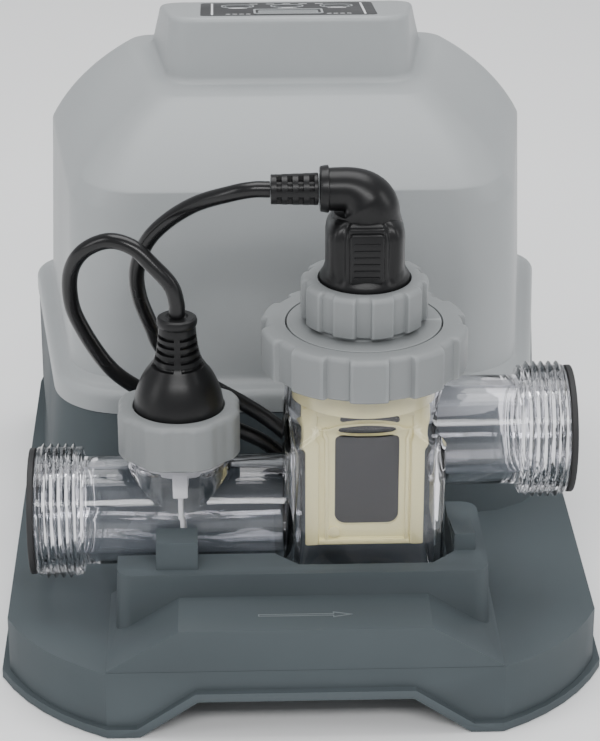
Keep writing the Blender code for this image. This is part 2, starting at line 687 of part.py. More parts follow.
def make_glands():
    for name, (x, z) in (("cell_gland", CELL_GLAND), ("sensor_gland", SENSOR_GLAND)):
        profile = [(0, GLAND_NOSE_Y), (4.4 * MM, GLAND_NOSE_Y), (5.6 * MM, -20 * MM), (8.5 * MM, -20 * MM),
                   (8.5 * MM, -17.3 * MM), (5.6 * MM, -17.3 * MM), (5.6 * MM, -4 * MM), (0, -4 * MM)]
        turned(name, profile, (x * MM, 0, z * MM), black_rubber(), axis="Y", segments=20)
    x, z = POWER_GLAND
    profile = [(0, 152 * MM), (5.6 * MM, 152 * MM), (5.6 * MM, 163 * MM), (9 * MM, 163 * MM),
               (9 * MM, 165 * MM), (6 * MM, 166 * MM), (0, 166 * MM)]
    turned("power_grommet", profile, (x, 0, z), black_rubber(), axis="Y", segments=20)


# ---------------------------------------------------------------- manifold

def threaded_end(rim, inner):
    """Profile of a pipe from its rim inwards to where it ends inside: V-shaped crests, then plain."""
    way = 1 if inner > rim else -1
    pitch = THREAD_LENGTH / THREAD_CRESTS * way
    profile = [(0, rim), (THREAD_ROOT, rim)]
    for k in range(THREAD_CRESTS):
        start = rim + pitch * k
        profile += [(THREAD_RADIUS, start + pitch * 0.4), (THREAD_RADIUS, start + pitch * 0.6),
                    (THREAD_ROOT, start + pitch)]
    neck = rim + (THREAD_LENGTH + 0.5 * MM) * way
    return profile + [(PIPE_RADIUS, neck), (PIPE_RADIUS, inner), (0, inner)]


def collared_end(low, radius, thread_low, thread_radius, top):
    """Profile of an upright neck: plain, then the wider band that a collar screws on."""
    return [(0, low), (radius, low), (radius, thread_low), (thread_radius, thread_low), (thread_radius, top),
            (0, top)]


def make_manifold():
    """One clear moulding: inlet pipe, sensor branch, cell housing with its neck, outlet pipe."""
    inlet, outlet = (0, PIPE_Y, INLET_Z), (0, PIPE_Y, OUTLET_Z)
    branch, cell = (SENSOR_X, PIPE_Y, 0), (CELL_X, PIPE_Y, 0)
    body = mirrored_rect(
        HOUSING_HALF_X, PIPE_Y - HOUSING_HALF_Y, PIPE_Y + HOUSING_HALF_Y, 8.5 * MM, 4, CELL_X)
    manifold = prism("manifold", body, HOUSING_FLOOR, HOUSING_TOP, clear_plastic())
    join(
        manifold,
        turned("neck", collared_end(NECK_LOW, NECK_SLEEVE, NECK_THREAD_LOW, NECK_RADIUS, NECK_TOP), cell),
        turned("inlet", threaded_end(INLET_X, 0), inlet, axis="X", segments=32),
        turned("outlet", threaded_end(OUTLET_X, OUTLET_INNER_X), outlet, axis="X"),
        turned("branch", collared_end(INLET_Z, BRANCH_RADIUS, BRANCH_THREAD_LOW, BRANCH_THREAD_RADIUS,
                                      BRANCH_TOP), branch),
    )
    inner = mirrored_rect(
        HOUSING_HALF_X - HOUSING_WALL, PIPE_Y - HOUSING_HALF_Y + HOUSING_WALL,
        PIPE_Y + HOUSING_HALF_Y - HOUSING_WALL, 5 * MM, 4, CELL_X)
    cut(
        manifold,
        prism("housing_room", inner, HOUSING_FLOOR + HOUSING_WALL, HOUSING_TOP - HOUSING_WALL),
        cylinder("neck_bore", NECK_BORE, HOUSING_TOP - 5.5 * MM, NECK_TOP + 9 * MM, cell),
        cylinder("inlet_bore", PIPE_BORE, INLET_X - 9 * MM, 0, inlet, axis="X", segments=32),
        cylinder("outlet_bore", PIPE_BORE, 50 * MM, OUTLET_X + 9 * MM, outlet, axis="X"),
        cylinder("branch_bore", BRANCH_BORE, INLET_Z, BRANCH_TOP + 9 * MM, branch),
    )
    for name, start, z in (("inlet_gasket", INLET_X - GAP - RIM_DEPTH, INLET_Z),
                           ("outlet_gasket", OUTLET_X + GAP, OUTLET_Z)):
        ring(name, 21 * MM, 28 * MM, start, start + RIM_DEPTH, (0, PIPE_Y, z), black_rubber(), axis="X")


# ---------------------------------------------------------------- collars

def lobed(radius, root, count, z, turn=0.0, share=0.62):
    """Plan of a ribbed collar: count flat-topped ribs with recesses between them."""
    outline = []
    step = 2 * pi / count
    for k in range(count):
        middle = -pi / 2 + turn + k * step
        for offset, reach in ((-share / 2, radius), (share / 2, radius), (share / 2 + 0.05, root),
                              (0.95 - share / 2, root)):
            angle = middle + offset * step
            outline.append(Vector((reach * cos(angle), reach * sin(angle), z)))
    return outline


def collar(name, place, radius, root, low, high, bore, opening, lip, ribs, turn=0.0):
    """A ribbed nut: threaded bore below, and a lip that holds down what it clamps."""
    chamfer = 1.2 * MM
    rings = [lobed(radius, root, ribs, low, turn), lobed(radius, root, ribs, high - chamfer * 2, turn),
             lobed(radius - chamfer, root - chamfer * 0.4, ribs, high - chamfer * 0.5, turn),
             lobed(radius - chamfer * 2, root - chamfer * 1.6, ribs, high, turn)]
    x, y = place
    shape = loft_shape([[Vector((p.x + x, p.y + y, p.z)) for p in ring_points] for ring_points in rings])
    made = new_object(name, shape, collar_plastic(), (x, y, 0))
    cut(made, cylinder("bore", bore, low - 5 * MM, high - lip, (x, y, 0)),
        cylinder("opening", opening, low, high + 5 * MM, (x, y, 0)))
    return made


def make_collars():
    collar("cell_collar", (CELL_X, PIPE_Y), COLLAR_RADIUS, 43.2 * MM, COLLAR_LOW, COLLAR_HIGH,
           NECK_RADIUS + 0.6 * MM, COLLAR_OPENING, 4 * MM, 10)
    collar("plug_collar", (CELL_X, PIPE_Y), PLUG_COLLAR_RADIUS, 26.2 * MM, PLUG_COLLAR_LOW,
           PLUG_COLLAR_HIGH, 23.8 * MM, PLUG_OPENING, 3.2 * MM, 10, radians(14))
    collar("sensor_collar", (SENSOR_X, PIPE_Y), SENSOR_COLLAR_RADIUS, 26.4 * MM, SENSOR_COLLAR_LOW,
           SENSOR_COLLAR_HIGH, 25.1 * MM, PLUG_OPENING, 3.2 * MM, 8, radians(22.5))


# ---------------------------------------------------------------- cell

def make_cell():
    """The cell that lifts out: sealed cap with the plug's socket, and the electrodes in their frame."""
    centre = (CELL_X, PIPE_Y, 0)
    profile = [
        (0, 128), (31.1, 128), (31.1, 139.5), (28.2, 139.5), (28.2, 144.3), (31.1, 144.3), (31.1, 150.3),
        (37.5, 150.3), (37.5, 155.6), (33.6, 155.6), (33.6, 160), (23.2, 160), (23.2, 173),
        (15.2, 173), (15.2, 166), (0, 166),
    ]
    turned("cell_cap", [(r * MM, z * MM) for r, z in profile], centre, collar_plastic())
    seal = [(28.5, 141), (29.8, 140), (31.2, 141), (31.2, 142.8), (29.8, 143.8), (28.5, 142.8)]
    turned("cell_o_ring", [(r * MM, z * MM) for r, z in seal], centre, black_rubber())
    terminals = cylinder("cell_terminals", 12 * MM, 166.3 * MM, 167.6 * MM, centre, steel(), segments=24)
    for x, y in pin_places():
        join(terminals, cylinder("pin", 1.3 * MM, 167 * MM, 174.5 * MM, (x, y, 0), segments=12))
    frame = prism("electrode_frame", mirrored_rect_at(CELL_X, PIPE_Y, 26.6 * MM, 17.5 * MM, 4 * MM),
                  FRAME_LOW, 127.7 * MM, cream_plastic(), centre)
    cut(frame, prism("slot", mirrored_rect_at(CELL_X, PIPE_Y, 23.6 * MM, 14.5 * MM, 2 * MM, 2),
                     FRAME_LOW + 4 * MM, 140 * MM))
    window = mirrored_rect_at(CELL_X + 1 * MM, WINDOW_Z, 14 * MM, 23 * MM, 6 * MM)
    cut(frame, front_prism("window", window, PIPE_Y - 30 * MM, PIPE_Y + 30 * MM))
    for number in range(1, PLATES + 1):
        y = PIPE_Y + (number - (PLATES + 1) / 2) * PLATE_PITCH
        block(f"electrode_plate_{number}", (CELL_X - 23 * MM, y - 0.6 * MM, FRAME_LOW + 5 * MM),
              (CELL_X + 23 * MM, y + 0.6 * MM, 126 * MM), titanium(), centre)


def pin_places():
    return [(CELL_X + 7 * MM * cos(angle), PIPE_Y + 7 * MM * sin(angle))
            for angle in (pi / 2, pi * 7 / 6, pi * 11 / 6)]


def make_plug():
    """Right-angle plug: round nose in the socket, flat-fronted grip, elbow to the strain relief."""
    centre = (CELL_X, PIPE_Y, 0)
    profile = [(0, 168.5), (14.8, 168.5), (14.8, 173.3), (23, 173.3), (23, 177), (19.3, 177),
               (19.3, 181.5), (17.6, 184.5), (0, 184.5)]
    plug = turned("cell_plug", [(r * MM, z * MM) for r, z in profile], centre, black_rubber())
    grip = mirrored_rect_at(CELL_X, PIPE_Y, PLUG_RADIUS, PLUG_RADIUS, 11 * MM)
    join(plug, prism("grip", grip, 183 * MM, 207 * MM))
    left = 8 * MM
    bend_x, bend_z = CELL_X - 11 * MM, RELIEF_Z - ELBOW_BEND
    path = [(left, RELIEF_Z, 0)]
    path += [(bend_x + ELBOW_BEND * sin(radians(a)), bend_z + ELBOW_BEND * cos(radians(a)), radians(a))
             for a in (0, 22.5, 45, 67.5, 90)]
    path.append((bend_x + ELBOW_BEND, 200 * MM, pi / 2))
    rings = []
    for x, z, lean_angle in path:
        rings.append([Vector((x + ELBOW_RADIUS * cos(a) * sin(lean_angle), PIPE_Y + ELBOW_RADIUS * sin(a),
                              z + ELBOW_RADIUS * cos(a) * cos(lean_angle)))
                      for a in (2 * pi * (k + 0.5) / 20 for k in range(20))])
    join(plug, loft("elbow", rings))
    for x, y in pin_places():
        cut(plug, cylinder("pin_hole", 1.8 * MM, 160 * MM, 176 * MM, (x, y, 0), segments=12))
    relief = [(0, RELIEF_END_X), (6.2 * MM, RELIEF_END_X), (7 * MM, left - GAP), (0, left - GAP)]
    turned("plug_strain_relief", relief, (0, PIPE_Y, RELIEF_Z), black_rubber(), axis="X", segments=20)


# ---------------------------------------------------------------- flow sensor

def make_sensor():
    centre = (SENSOR_X, PIPE_Y, 0)
    profile = [
        (0, 92), (9, 92), (12, 96.5), (18.1, 96.5), (18.1, 101.5), (15.4, 101.5), (15.4, 105.5),
        (18.1, 105.5), (18.1, 112.3), (24, 112.3), (24, 117.8), (4, 117.8), (4, 98), (0, 98),
    ]
    body = turned("sensor_body", [(r * MM, z * MM) for r, z in profile], centre, cream_plastic())
    for side in (-1, 1):
        y = PIPE_Y + side * 9.4 * MM
        join(body, block("fork", (SENSOR_X - 3 * MM, y - 1.2 * MM, 82 * MM),
                         (SENSOR_X + 3 * MM, y + 1.2 * MM, 98 * MM)))
    seal = [(15.7, 102.6), (17, 101.8), (18.2, 102.6), (18.2, 104.4), (17, 105.2), (15.7, 104.4)]
    turned("sensor_o_ring", [(r * MM, z * MM) for r, z in seal], centre, black_rubber())
    cylinder("reed_switch", 2 * MM, 98.3 * MM, 116 * MM, centre, steel(), segments=12)
    bell = [(0, 118.1), (19.5, 118.1), (19.5, 123), (18.8, 127), (16.6, 133.2), (14.3, 137.3), (10.5, 142.5),
            (8.9, 148.6), (7.9, 158.5), (8.6, 159.5), (8.6, 162.3), (7.5, 163), (0, 163)]
    turned("sensor_plug", [(r * MM, z * MM) for r, z in bell], centre, black_rubber())
    pivot = (SENSOR_X, PIPE_Y, PADDLE_PIVOT_Z)
    y_low, y_high = PIPE_Y - 7.9 * MM, PIPE_Y + 7.9 * MM
    paddle = block("sensor_paddle", (SENSOR_X - 1 * MM, y_low, 56 * MM), (SENSOR_X + 1 * MM, y_high, 84 * MM),
                   cream_plastic(), pivot)
    join(paddle, cylinder("hub", 3 * MM, y_low, y_high, (SENSOR_X, 0, PADDLE_PIVOT_Z), axis="Y", segments=16))
    cut(paddle, cylinder("hub_bore", 1.4 * MM, y_low - 5 * MM, y_high + 5 * MM,
                         (SENSOR_X, 0, PADDLE_PIVOT_Z), axis="Y", segments=16))
    cut(body, cylinder("pin_seat", 1.3 * MM, PIPE_Y - 12 * MM, PIPE_Y + 12 * MM,
                       (SENSOR_X, 0, PADDLE_PIVOT_Z), axis="Y", segments=16))
    cylinder("paddle_pin", 1 * MM, PIPE_Y - 10.4 * MM, PIPE_Y + 10.4 * MM,
             (SENSOR_X, 0, PADDLE_PIVOT_Z), steel(), axis="Y", segments=12)


def make_lead(name, route):
    """A round lead along a smooth route. Its first and last lengths are straight, so its ends are square."""
    points = [Vector(route[0])] + smooth_route(route[1:-1], LEAD_POINT_SPACING) + [Vector(route[-1])]
    curve = bpy.data.curves.new(name, "CURVE")
    curve.dimensions = "3D"
    curve.bevel_depth = LEAD_RADIUS
    curve.bevel_resolution = 2
    curve.use_fill_caps = True
    spline = curve.splines.new("POLY")
    spline.points.add(len(points) - 1)
    for slot, point in zip(spline.points, points):
        slot.co = (*(point * MM), 1)
    made = bpy.data.objects.new(name, curve)
    made.data.materials.append(black_rubber())
    bpy.context.scene.collection.objects.link(made)


clear_scene()
bore_base(make_base())
make_box_shell()
make_gasket()
make_console_parts()
make_screws()
make_electronics()
make_glands()
make_manifold()
make_collars()
make_cell()
make_plug()
make_sensor()
make_lead("cell_lead", CELL_LEAD)
make_lead("sensor_lead", SENSOR_LEAD)
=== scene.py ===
"""Looks of the salt chlorine generator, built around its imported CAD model."""

from math import acos, atan2, cos, exp, pi, radians, sin, tan

import bmesh
import bpy
from mathutils import Matrix, Vector


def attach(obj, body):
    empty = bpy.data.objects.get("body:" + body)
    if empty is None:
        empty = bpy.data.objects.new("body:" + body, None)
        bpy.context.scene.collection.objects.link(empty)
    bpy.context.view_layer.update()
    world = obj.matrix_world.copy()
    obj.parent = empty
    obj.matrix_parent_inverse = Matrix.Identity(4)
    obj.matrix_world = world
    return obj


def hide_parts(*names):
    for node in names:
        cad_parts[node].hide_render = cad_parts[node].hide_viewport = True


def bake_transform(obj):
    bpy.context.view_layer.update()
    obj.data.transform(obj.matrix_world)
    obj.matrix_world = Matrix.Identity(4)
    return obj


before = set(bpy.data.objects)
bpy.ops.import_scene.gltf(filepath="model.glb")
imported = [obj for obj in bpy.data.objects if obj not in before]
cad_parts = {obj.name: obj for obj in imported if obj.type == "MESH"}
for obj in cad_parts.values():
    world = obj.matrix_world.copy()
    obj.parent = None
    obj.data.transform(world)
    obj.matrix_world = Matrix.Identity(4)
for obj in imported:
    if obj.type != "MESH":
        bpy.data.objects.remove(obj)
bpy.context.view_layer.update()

# Lengths are millimetres unless a comment says metres. They are scaled as meshes are made.
MM = 0.001
FULL = 2 * pi

# Axes that several pieces share.
PIPE_Y = -89.5
CELL_X = 27.5
SENSOR_X = -53.0
INLET_Z = 70.0
OUTLET_Z = 107.0
LEAD_IN_Z = 220.4
LEAD_RADIUS = 3.5

# The camera that matches the photograph: metres and degrees.
CAMERA_PLACE = (-0.0335, -1.0962, 0.5956)
CAMERA_TILT = 65.5
CAMERA_TURN = -1.9
SENSOR_HEIGHT = 36.0
LENS = 123.9


def shown(thing):
    """Puts a new object in the scene."""
    bpy.context.scene.collection.objects.link(thing)
    return thing


# ---------------------------------------------------------------- camera

def add_camera():
    data = bpy.data.cameras.new("camera")
    data.sensor_fit = "VERTICAL"
    data.sensor_height = SENSOR_HEIGHT
    data.lens = LENS
    data.clip_end = 20.0
    camera = shown(bpy.data.objects.new("camera", data))
    camera.location = CAMERA_PLACE
    camera.rotation_euler = (radians(CAMERA_TILT), 0.0, radians(CAMERA_TURN))
    bpy.context.scene.camera = camera


# ---------------------------------------------------------------- materials

# Sockets of a colour mix node. Their names repeat for its other kinds of data.
MIX_SHARE, MIX_FIRST, MIX_SECOND, MIX_RESULT = 0, 6, 7, 2


class Nodes:
    """A material's node tree, with short calls for the nodes that every finish here uses."""

    def __init__(self, name):
        self.material = bpy.data.materials.new(name)
        self.material.use_nodes = True
        self.tree = self.material.node_tree
        self.tree.nodes.clear()
        self.out = self.tree.nodes.new("ShaderNodeOutputMaterial")
        self.place = self.tree.nodes.new("ShaderNodeTexCoord").outputs["Object"]

    def add(self, kind, **values):
        node = self.tree.nodes.new(kind)
        for key, value in values.items():
            setattr(node, key, value)
        return node

    def link(self, source, target):
        self.tree.links.new(source, target)

    def noise(self, scale, detail=3.0, stretch=None):
        node = self.add("ShaderNodeTexNoise")
        node.inputs["Scale"].default_value = scale
        node.inputs["Detail"].default_value = detail
        source = self.place
        if stretch:
            mapping = self.add("ShaderNodeMapping")
            mapping.inputs["Scale"].default_value = stretch
            self.link(source, mapping.inputs["Vector"])
            source = mapping.outputs["Vector"]
        self.link(source, node.inputs["Vector"])
        return node.outputs["Fac"]

    def spread(self, source, low, high, low_in=0.3, high_in=0.7):
        node = self.add("ShaderNodeMapRange")
        node.inputs["From Min"].default_value = low_in
        node.inputs["From Max"].default_value = high_in
        node.inputs["To Min"].default_value = low
        node.inputs["To Max"].default_value = high
        self.link(source, node.inputs["Value"])
        return node.outputs["Result"]

    def mixed(self, share, first, second):
        node = self.add("ShaderNodeMix", data_type="RGBA")
        for socket, value in ((MIX_FIRST, first), (MIX_SECOND, second)):
            if hasattr(value, "is_output"):
                self.link(value, node.inputs[socket])
            else:
                node.inputs[socket].default_value = (*value, 1.0)
        self.link(share, node.inputs[MIX_SHARE])
        return node.outputs[MIX_RESULT]

    def bump(self, height, strength, distance):
        node = self.add("ShaderNodeBump")
        node.inputs["Strength"].default_value = strength
        node.inputs["Distance"].default_value = distance
        self.link(height, node.inputs["Height"])
        return node.outputs["Normal"]


GRAIN_DEPTH = 0.00006    # metres
RIPPLE_DEPTH = 0.0006    # metres


def moulded(name, colour, roughness, grain, strength, mottle, edge_highlight=0.0, metallic=0.0,
            specular=0.5, stretch=None):
    """Moulded plastic, rubber or metal: fine grain, slow mottling, and a painted highlight that
    lightens sharp edges.
    """
    n = Nodes(name)
    shader = n.add("ShaderNodeBsdfPrincipled")
    shader.inputs["Metallic"].default_value = metallic
    shader.inputs["Specular IOR Level"].default_value = specular
    slow = n.noise(22.0, 4.0)
    dark = tuple(c * (1 - mottle) for c in colour)
    light = tuple(min(1.0, c * (1 + mottle)) for c in colour)
    tone = n.mixed(n.spread(slow, 0.0, 1.0), dark, light)
    # Painted highlight: sharp edges, found by pointiness, are lightened to stand in for light
    # caught on rounded edges.
    if edge_highlight:
        edge = n.add("ShaderNodeNewGeometry").outputs["Pointiness"]
        edge_lit = tuple(min(1.0, c * (1 + 2.2 * edge_highlight) + 0.05 * edge_highlight) for c in colour)
        tone = n.mixed(n.spread(edge, 0.0, edge_highlight, 0.52, 0.60), tone, edge_lit)
    n.link(tone, shader.inputs["Base Color"])
    fine = n.noise(grain, 2.0, stretch)
    n.link(n.spread(slow, roughness - 0.05, roughness + 0.05), shader.inputs["Roughness"])
    n.link(n.bump(fine, strength, GRAIN_DEPTH), shader.inputs["Normal"])
    n.link(shader.outputs["BSDF"], n.out.inputs["Surface"])
    return n.material


def clear(name, colour, roughness):
    """Polished clear plastic. Shadow rays pass it, so light reaches what stands behind."""
    ripple, shade = 0.15, 0.8
    n = Nodes(name)
    shader = n.add("ShaderNodeBsdfPrincipled")
    shader.inputs["Transmission Weight"].default_value = 1.0
    shader.inputs["IOR"].default_value = 1.46
    shader.inputs["Base Color"].default_value = (*colour, 1.0)
    slow = n.noise(45.0, 2.0)
    n.link(n.spread(slow, roughness, roughness + 0.03), shader.inputs["Roughness"])
    n.link(n.bump(slow, ripple, RIPPLE_DEPTH), shader.inputs["Normal"])
    through = n.add("ShaderNodeBsdfTransparent")
    through.inputs["Color"].default_value = (shade, shade, shade, 1.0)
    path = n.add("ShaderNodeLightPath")
    mix = n.add("ShaderNodeMixShader")
    n.link(path.outputs["Is Shadow Ray"], mix.inputs[0])
    n.link(shader.outputs["BSDF"], mix.inputs[1])
    n.link(through.outputs["BSDF"], mix.inputs[2])
    n.link(mix.outputs["Shader"], n.out.inputs["Surface"])
    return n.material


# Each moulded finish: name, colour, roughness, grain scale, grain strength, mottle, painted edge
# highlight.
SLATE = moulded("slate_moulding", (0.064, 0.078, 0.085), 0.58, 1900, 0.35, 0.06, 0.28,
                specular=0.2)
GREY = moulded("grey_moulding", (0.335, 0.352, 0.358), 0.42, 1700, 0.22, 0.025, 0.25)
COLLAR = moulded("collar_moulding", (0.215, 0.226, 0.229), 0.46, 1500, 0.30, 0.03, 0.45,
                 specular=0.4)
CLEAR = clear("clear_moulding", (0.93, 0.93, 0.965), 0.015)
WINDOW = clear("window_plastic", (0.30, 0.33, 0.34), 0.05)
PLUG = moulded("plug_moulding", (0.0075, 0.0075, 0.008), 0.33, 1500, 0.25, 0.10, 0.25,
               specular=0.3)
LEAD = moulded("lead_sheath", (0.0055, 0.0055, 0.006), 0.26, 900, 0.18, 0.12,
               specular=0.4, stretch=(1, 1, 0.4))
RUBBER = moulded("seal_rubber", (0.016, 0.016, 0.017), 0.62, 1300, 0.35, 0.12)
CREAM = moulded("cream_moulding", (0.82, 0.745, 0.40), 0.40, 1200, 0.20, 0.045, 0.15)
WHITE = moulded("printed_white", (0.78, 0.79, 0.80), 0.5, 2500, 0.1, 0.04)
SENSOR_WHITE = moulded("sensor_moulding", (0.80, 0.80, 0.80), 0.35, 1200, 0.20, 0.04)
LABEL = moulded("label_film", (0.008, 0.008, 0.009), 0.36, 3000, 0.30, 0.08, specular=0.25)
PLATE = moulded("coated_titanium", (0.013, 0.012, 0.015), 0.55, 2600, 0.45, 0.08, specular=0.2)
STEEL = moulded("zinc_steel", (0.55, 0.56, 0.57), 0.32, 900, 0.15, 0.06, 0.3, metallic=1.0)
ALUMINIUM = moulded("extruded_aluminium", (0.62, 0.63, 0.64), 0.34, 1200, 0.3, 0.05, 0.2,
                    metallic=1.0, stretch=(1, 0.05, 1))
BOARD = moulded("board_lacquer", (0.018, 0.115, 0.045), 0.33, 700, 0.25, 0.10)
LIGHT_GREY = moulded("arrow_print", (0.150, 0.172, 0.180), 0.5, 1900, 0.25, 0.05)


# ---------------------------------------------------------------- numbers

def mixed(a, b, share):
    return a + (b - a) * share


def clamped(value):
    return min(max(value, 0.0), 1.0)


def smooth(share):
    """Eases from 0 to 1 and is level at both ends."""
    share = clamped(share)
    return share * share * (3 - 2 * share)


def quarter(steps=6):
    """The angles of a quarter turn, without its start."""
    return [pi / 2 * k / steps for k in range(1, steps + 1)]


def blended(first, second, share):
    return [a.lerp(b, share) for a, b in zip(first, second)]


# ---------------------------------------------------------------- meshes

def mesh_of(name, shape):
    bmesh.ops.recalc_face_normals(shape, faces=shape.faces)
    mesh = bpy.data.meshes.new(name)
    shape.to_mesh(mesh)
    shape.free()
    return mesh


def made(name, shape, material, body=None, nodes=(), sharp=32.0):
    """Turns a bmesh in millimetres into a piece: smooth where it curves, sharp at its edges."""
    mesh = mesh_of(name, shape)
    mesh.transform(Matrix.Scale(MM, 4))
    return placed(name, mesh, material, body, nodes, sharp)


def placed(name, mesh, material, body, nodes, sharp):
    """Adds a piece with its finish, and says what it rides on and which nodes it replaces."""
    mesh.materials.clear()
    mesh.materials.append(material)
    mesh.shade_smooth()
    mesh.set_sharp_from_angle(angle=radians(sharp))
    piece = shown(bpy.data.objects.new(name, mesh))
    if body:
        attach(piece, body)
    if nodes:
        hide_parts(*nodes)
    return piece


def add_loft(shape, rings, closed=False):
    """Skins rings of equal counts. An open loft gets flat ends."""
    rows = [[shape.verts.new(p) for p in ring] for ring in rings]
    count = len(rows[0])
    for here, ahead in zip(rows, rows[1:] + (rows[:1] if closed else [])):
        for i in range(count):
            j = (i + 1) % count
            shape.faces.new((here[i], here[j], ahead[j], ahead[i]))
    if not closed:
        shape.faces.new(rows[0])
        shape.faces.new(rows[-1])


def loft(rings, closed=False):
    shape = bmesh.new()
    add_loft(shape, rings, closed)
    return shape


AXES = {
    "X": Matrix.Rotation(pi / 2, 3, "Y"),
    "Y": Matrix.Rotation(-pi / 2, 3, "X"),
    "Z": Matrix.Identity(3),
}


def circle(radius_of, height, centre, axis="Z", count=96, phase=0.0):
    """A ring whose radius is a number or a function of the angle."""
    turn = AXES[axis]
    centre = Vector(centre)
    points = []
    for k in range(count):
        angle = FULL * (k + phase) / count
        radius = radius_of(angle) if callable(radius_of) else radius_of
        points.append(centre + turn @ Vector((radius * cos(angle), radius * sin(angle), height)))
    return points


def softened(profile, radius, closed):
    """Rounds the corners of an (r, z) profile, apart from those that are nearly straight."""
    steps = 3
    straight = radians(165)
    result = []
    count = len(profile)
    for i, here in enumerate(profile):
        if not closed and i in (0, count - 1):
            result.append(here)
            continue
        here = Vector(here)
        back = Vector(profile[i - 1]) - here
        ahead = Vector(profile[(i + 1) % count]) - here
        if back.length < 1e-6 or ahead.length < 1e-6 or back.angle(ahead) > straight:
            result.append(tuple(here))
            continue
        reach = min(radius, 0.42 * back.length, 0.42 * ahead.length)
        a = here + back.normalized() * reach
        b = here + ahead.normalized() * reach
        for k in range(steps + 1):
            t = k / steps
            result.append(tuple(a * (1 - t) ** 2 + here * 2 * t * (1 - t) + b * t * t))
    return result


def turned(profile, centre, axis, count, radius):
    """Spins an (r, height) profile. One that starts on the axis is capped, any other is a ring."""
    ring = profile[0][0] > 0
    points = softened(profile, radius, closed=ring)
    if not ring:
        points = points[1:-1]
    return loft([circle(r, h, centre, axis, count) for r, h in points], closed=ring)


def rounded(corners, steps):
    """Anticlockwise outline through (x, y, radius) corners, each turned as an arc."""
    outline = []
    for i, (x, y, radius) in enumerate(corners):
        here = Vector((x, y))
        back = (Vector(corners[i - 1][:2]) - here).normalized()
        ahead = (Vector(corners[(i + 1) % len(corners)][:2]) - here).normalized()
        half = back.angle(ahead) / 2
        centre = here + (back + ahead).normalized() * radius / sin(half)
        start = here + back * radius / tan(half) - centre
        sweep = pi - 2 * half
        if back.x * ahead.y - back.y * ahead.x > 0:
            sweep = -sweep
        first = atan2(start.y, start.x)
        for k in range(steps + 1):
            angle = first + sweep * k / steps
            outline.append((centre.x + radius * cos(angle), centre.y + radius * sin(angle)))
    return outline


MIN_CORNER = 0.05


def rect(x, y, half_x, half_y, radius, steps=8):
    return rounded([(x - half_x, y - half_y, radius), (x + half_x, y - half_y, radius),
                    (x + half_x, y + half_y, radius), (x - half_x, y + half_y, radius)], steps)


def at(outline, z):
    return [Vector((x, y, z)) for x, y in outline]


def upright(outline, y):
    """An (x, z) outline standing at depth y."""
    return [Vector((x, y, z)) for x, z in outline]


def pad(shape, x, y, half_x, half_y, radius, low, high, edge):
    """A rounded block with softened top and bottom edges."""
    rings = []
    for inset, z in ((edge, low), (edge * 0.3, low + edge * 0.3), (0, low + edge),
                     (0, high - edge), (edge * 0.3, high - edge * 0.3), (edge, high)):
        corner = max(radius - inset, MIN_CORNER)
        rings.append(at(rect(x, y, half_x - inset, half_y - inset, corner), z))
    add_loft(shape, rings)


def front_pad(shape, x, z, half_x, half_z, radius, front, rear, edge):
    """The same, lying against a vertical face: front is its -Y side."""
    rings = []
    for inset, y in ((edge, front), (edge * 0.3, front + edge * 0.3), (0, front + edge),
                     (0, rear)):
        corner = max(radius - inset, MIN_CORNER)
        rings.append(upright(rect(x, z, half_x - inset, half_z - inset, corner), y))
    add_loft(shape, rings)


def refined(node, material, body, width, angle=25.0, sharp=32.0):
    """A copy of a CAD piece with its edges rounded off. Edges flatter than angle stay."""
    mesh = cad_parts[node].data.copy()
    shape = bmesh.new()
    shape.from_mesh(mesh)
    bmesh.ops.remove_doubles(shape, verts=shape.verts, dist=2e-6)
    bmesh.ops.dissolve_limit(shape, angle_limit=radians(0.6), verts=shape.verts, edges=shape.edges)
    shape.to_mesh(mesh)
    shape.free()
    piece = placed(f"{node}_moulding", mesh, material, None, (), sharp)
    bevel = piece.modifiers.new("edges", "BEVEL")
    bevel.width = width * MM
    bevel.segments = 2
    bevel.limit_method = "ANGLE"
    bevel.angle_limit = radians(angle)
    bevel.harden_normals = True
    bevel.use_clamp_overlap = True
    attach(piece, body)
    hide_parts(node)


# ---------------------------------------------------------------- leads

CELL_LEAD = [
    (30, -28.3, 62), (30, -32.3, 62), (28.5, -39, 62.8), (24, -45, 65), (17, -49, 69),
    (8, -50.3, 75.5), (-1, -48.5, 82.5), (-9, -46, 89), (-16.7, -44, 94.3), (-25.4, -42.8, 99.8),
    (-44.3, -42.5, 111.9), (-60.2, -45.5, 127.9), (-65.3, -48.5, 141), (-70.1, -51.5, 156.4),
    (-70.7, -55.5, 171), (-66, -60.5, 185.7), (-56.9, -67.5, 198.1), (-44.1, -76.5, 209.4),
    (-29.6, -86, 217.3), (-20, -89.5, 220.4), (-12.8, -89.5, 220.4),
]
SENSOR_LEAD = [
    (8, -28.3, 56), (8, -32.3, 56), (6.5, -37.5, 58.5), (2, -42, 64), (-5, -44.5, 71.5),
    (-14, -44.5, 79.5), (-25, -43.5, 85.2), (-35.5, -43.5, 89.5), (-53.7, -44.5, 97.5),
    (-66, -46, 105.5), (-78.9, -49.5, 115.8), (-87.1, -53.5, 126.9), (-95, -58.5, 143.3),
    (-99.5, -63.5, 158.5), (-99, -69.5, 175.8), (-92.7, -75.5, 188), (-81.7, -80.5, 194.5),
    (-71.3, -84.5, 193), (-63.1, -87.5, 186), (-55.5, -89.3, 177.5), (-53, -89.5, 169),
    (-53, -89.5, 163.3),
]


def smooth_route(points):
    """Points on a smooth curve through the given ones."""
    steps = 8
    route = [Vector(p) for p in points]
    ends = [2 * route[0] - route[1]] + route + [2 * route[-1] - route[-2]]
    dense = []
    for a, b, c, d in zip(ends, ends[1:], ends[2:], ends[3:]):
        for k in range(steps):
            t = k / steps
            dense.append(0.5 * (2 * b + (c - a) * t + (2 * a - 5 * b + 4 * c - d) * t * t
                                + (3 * b - a - 3 * c + d) * t ** 3))
    dense.append(route[-1])
    return dense


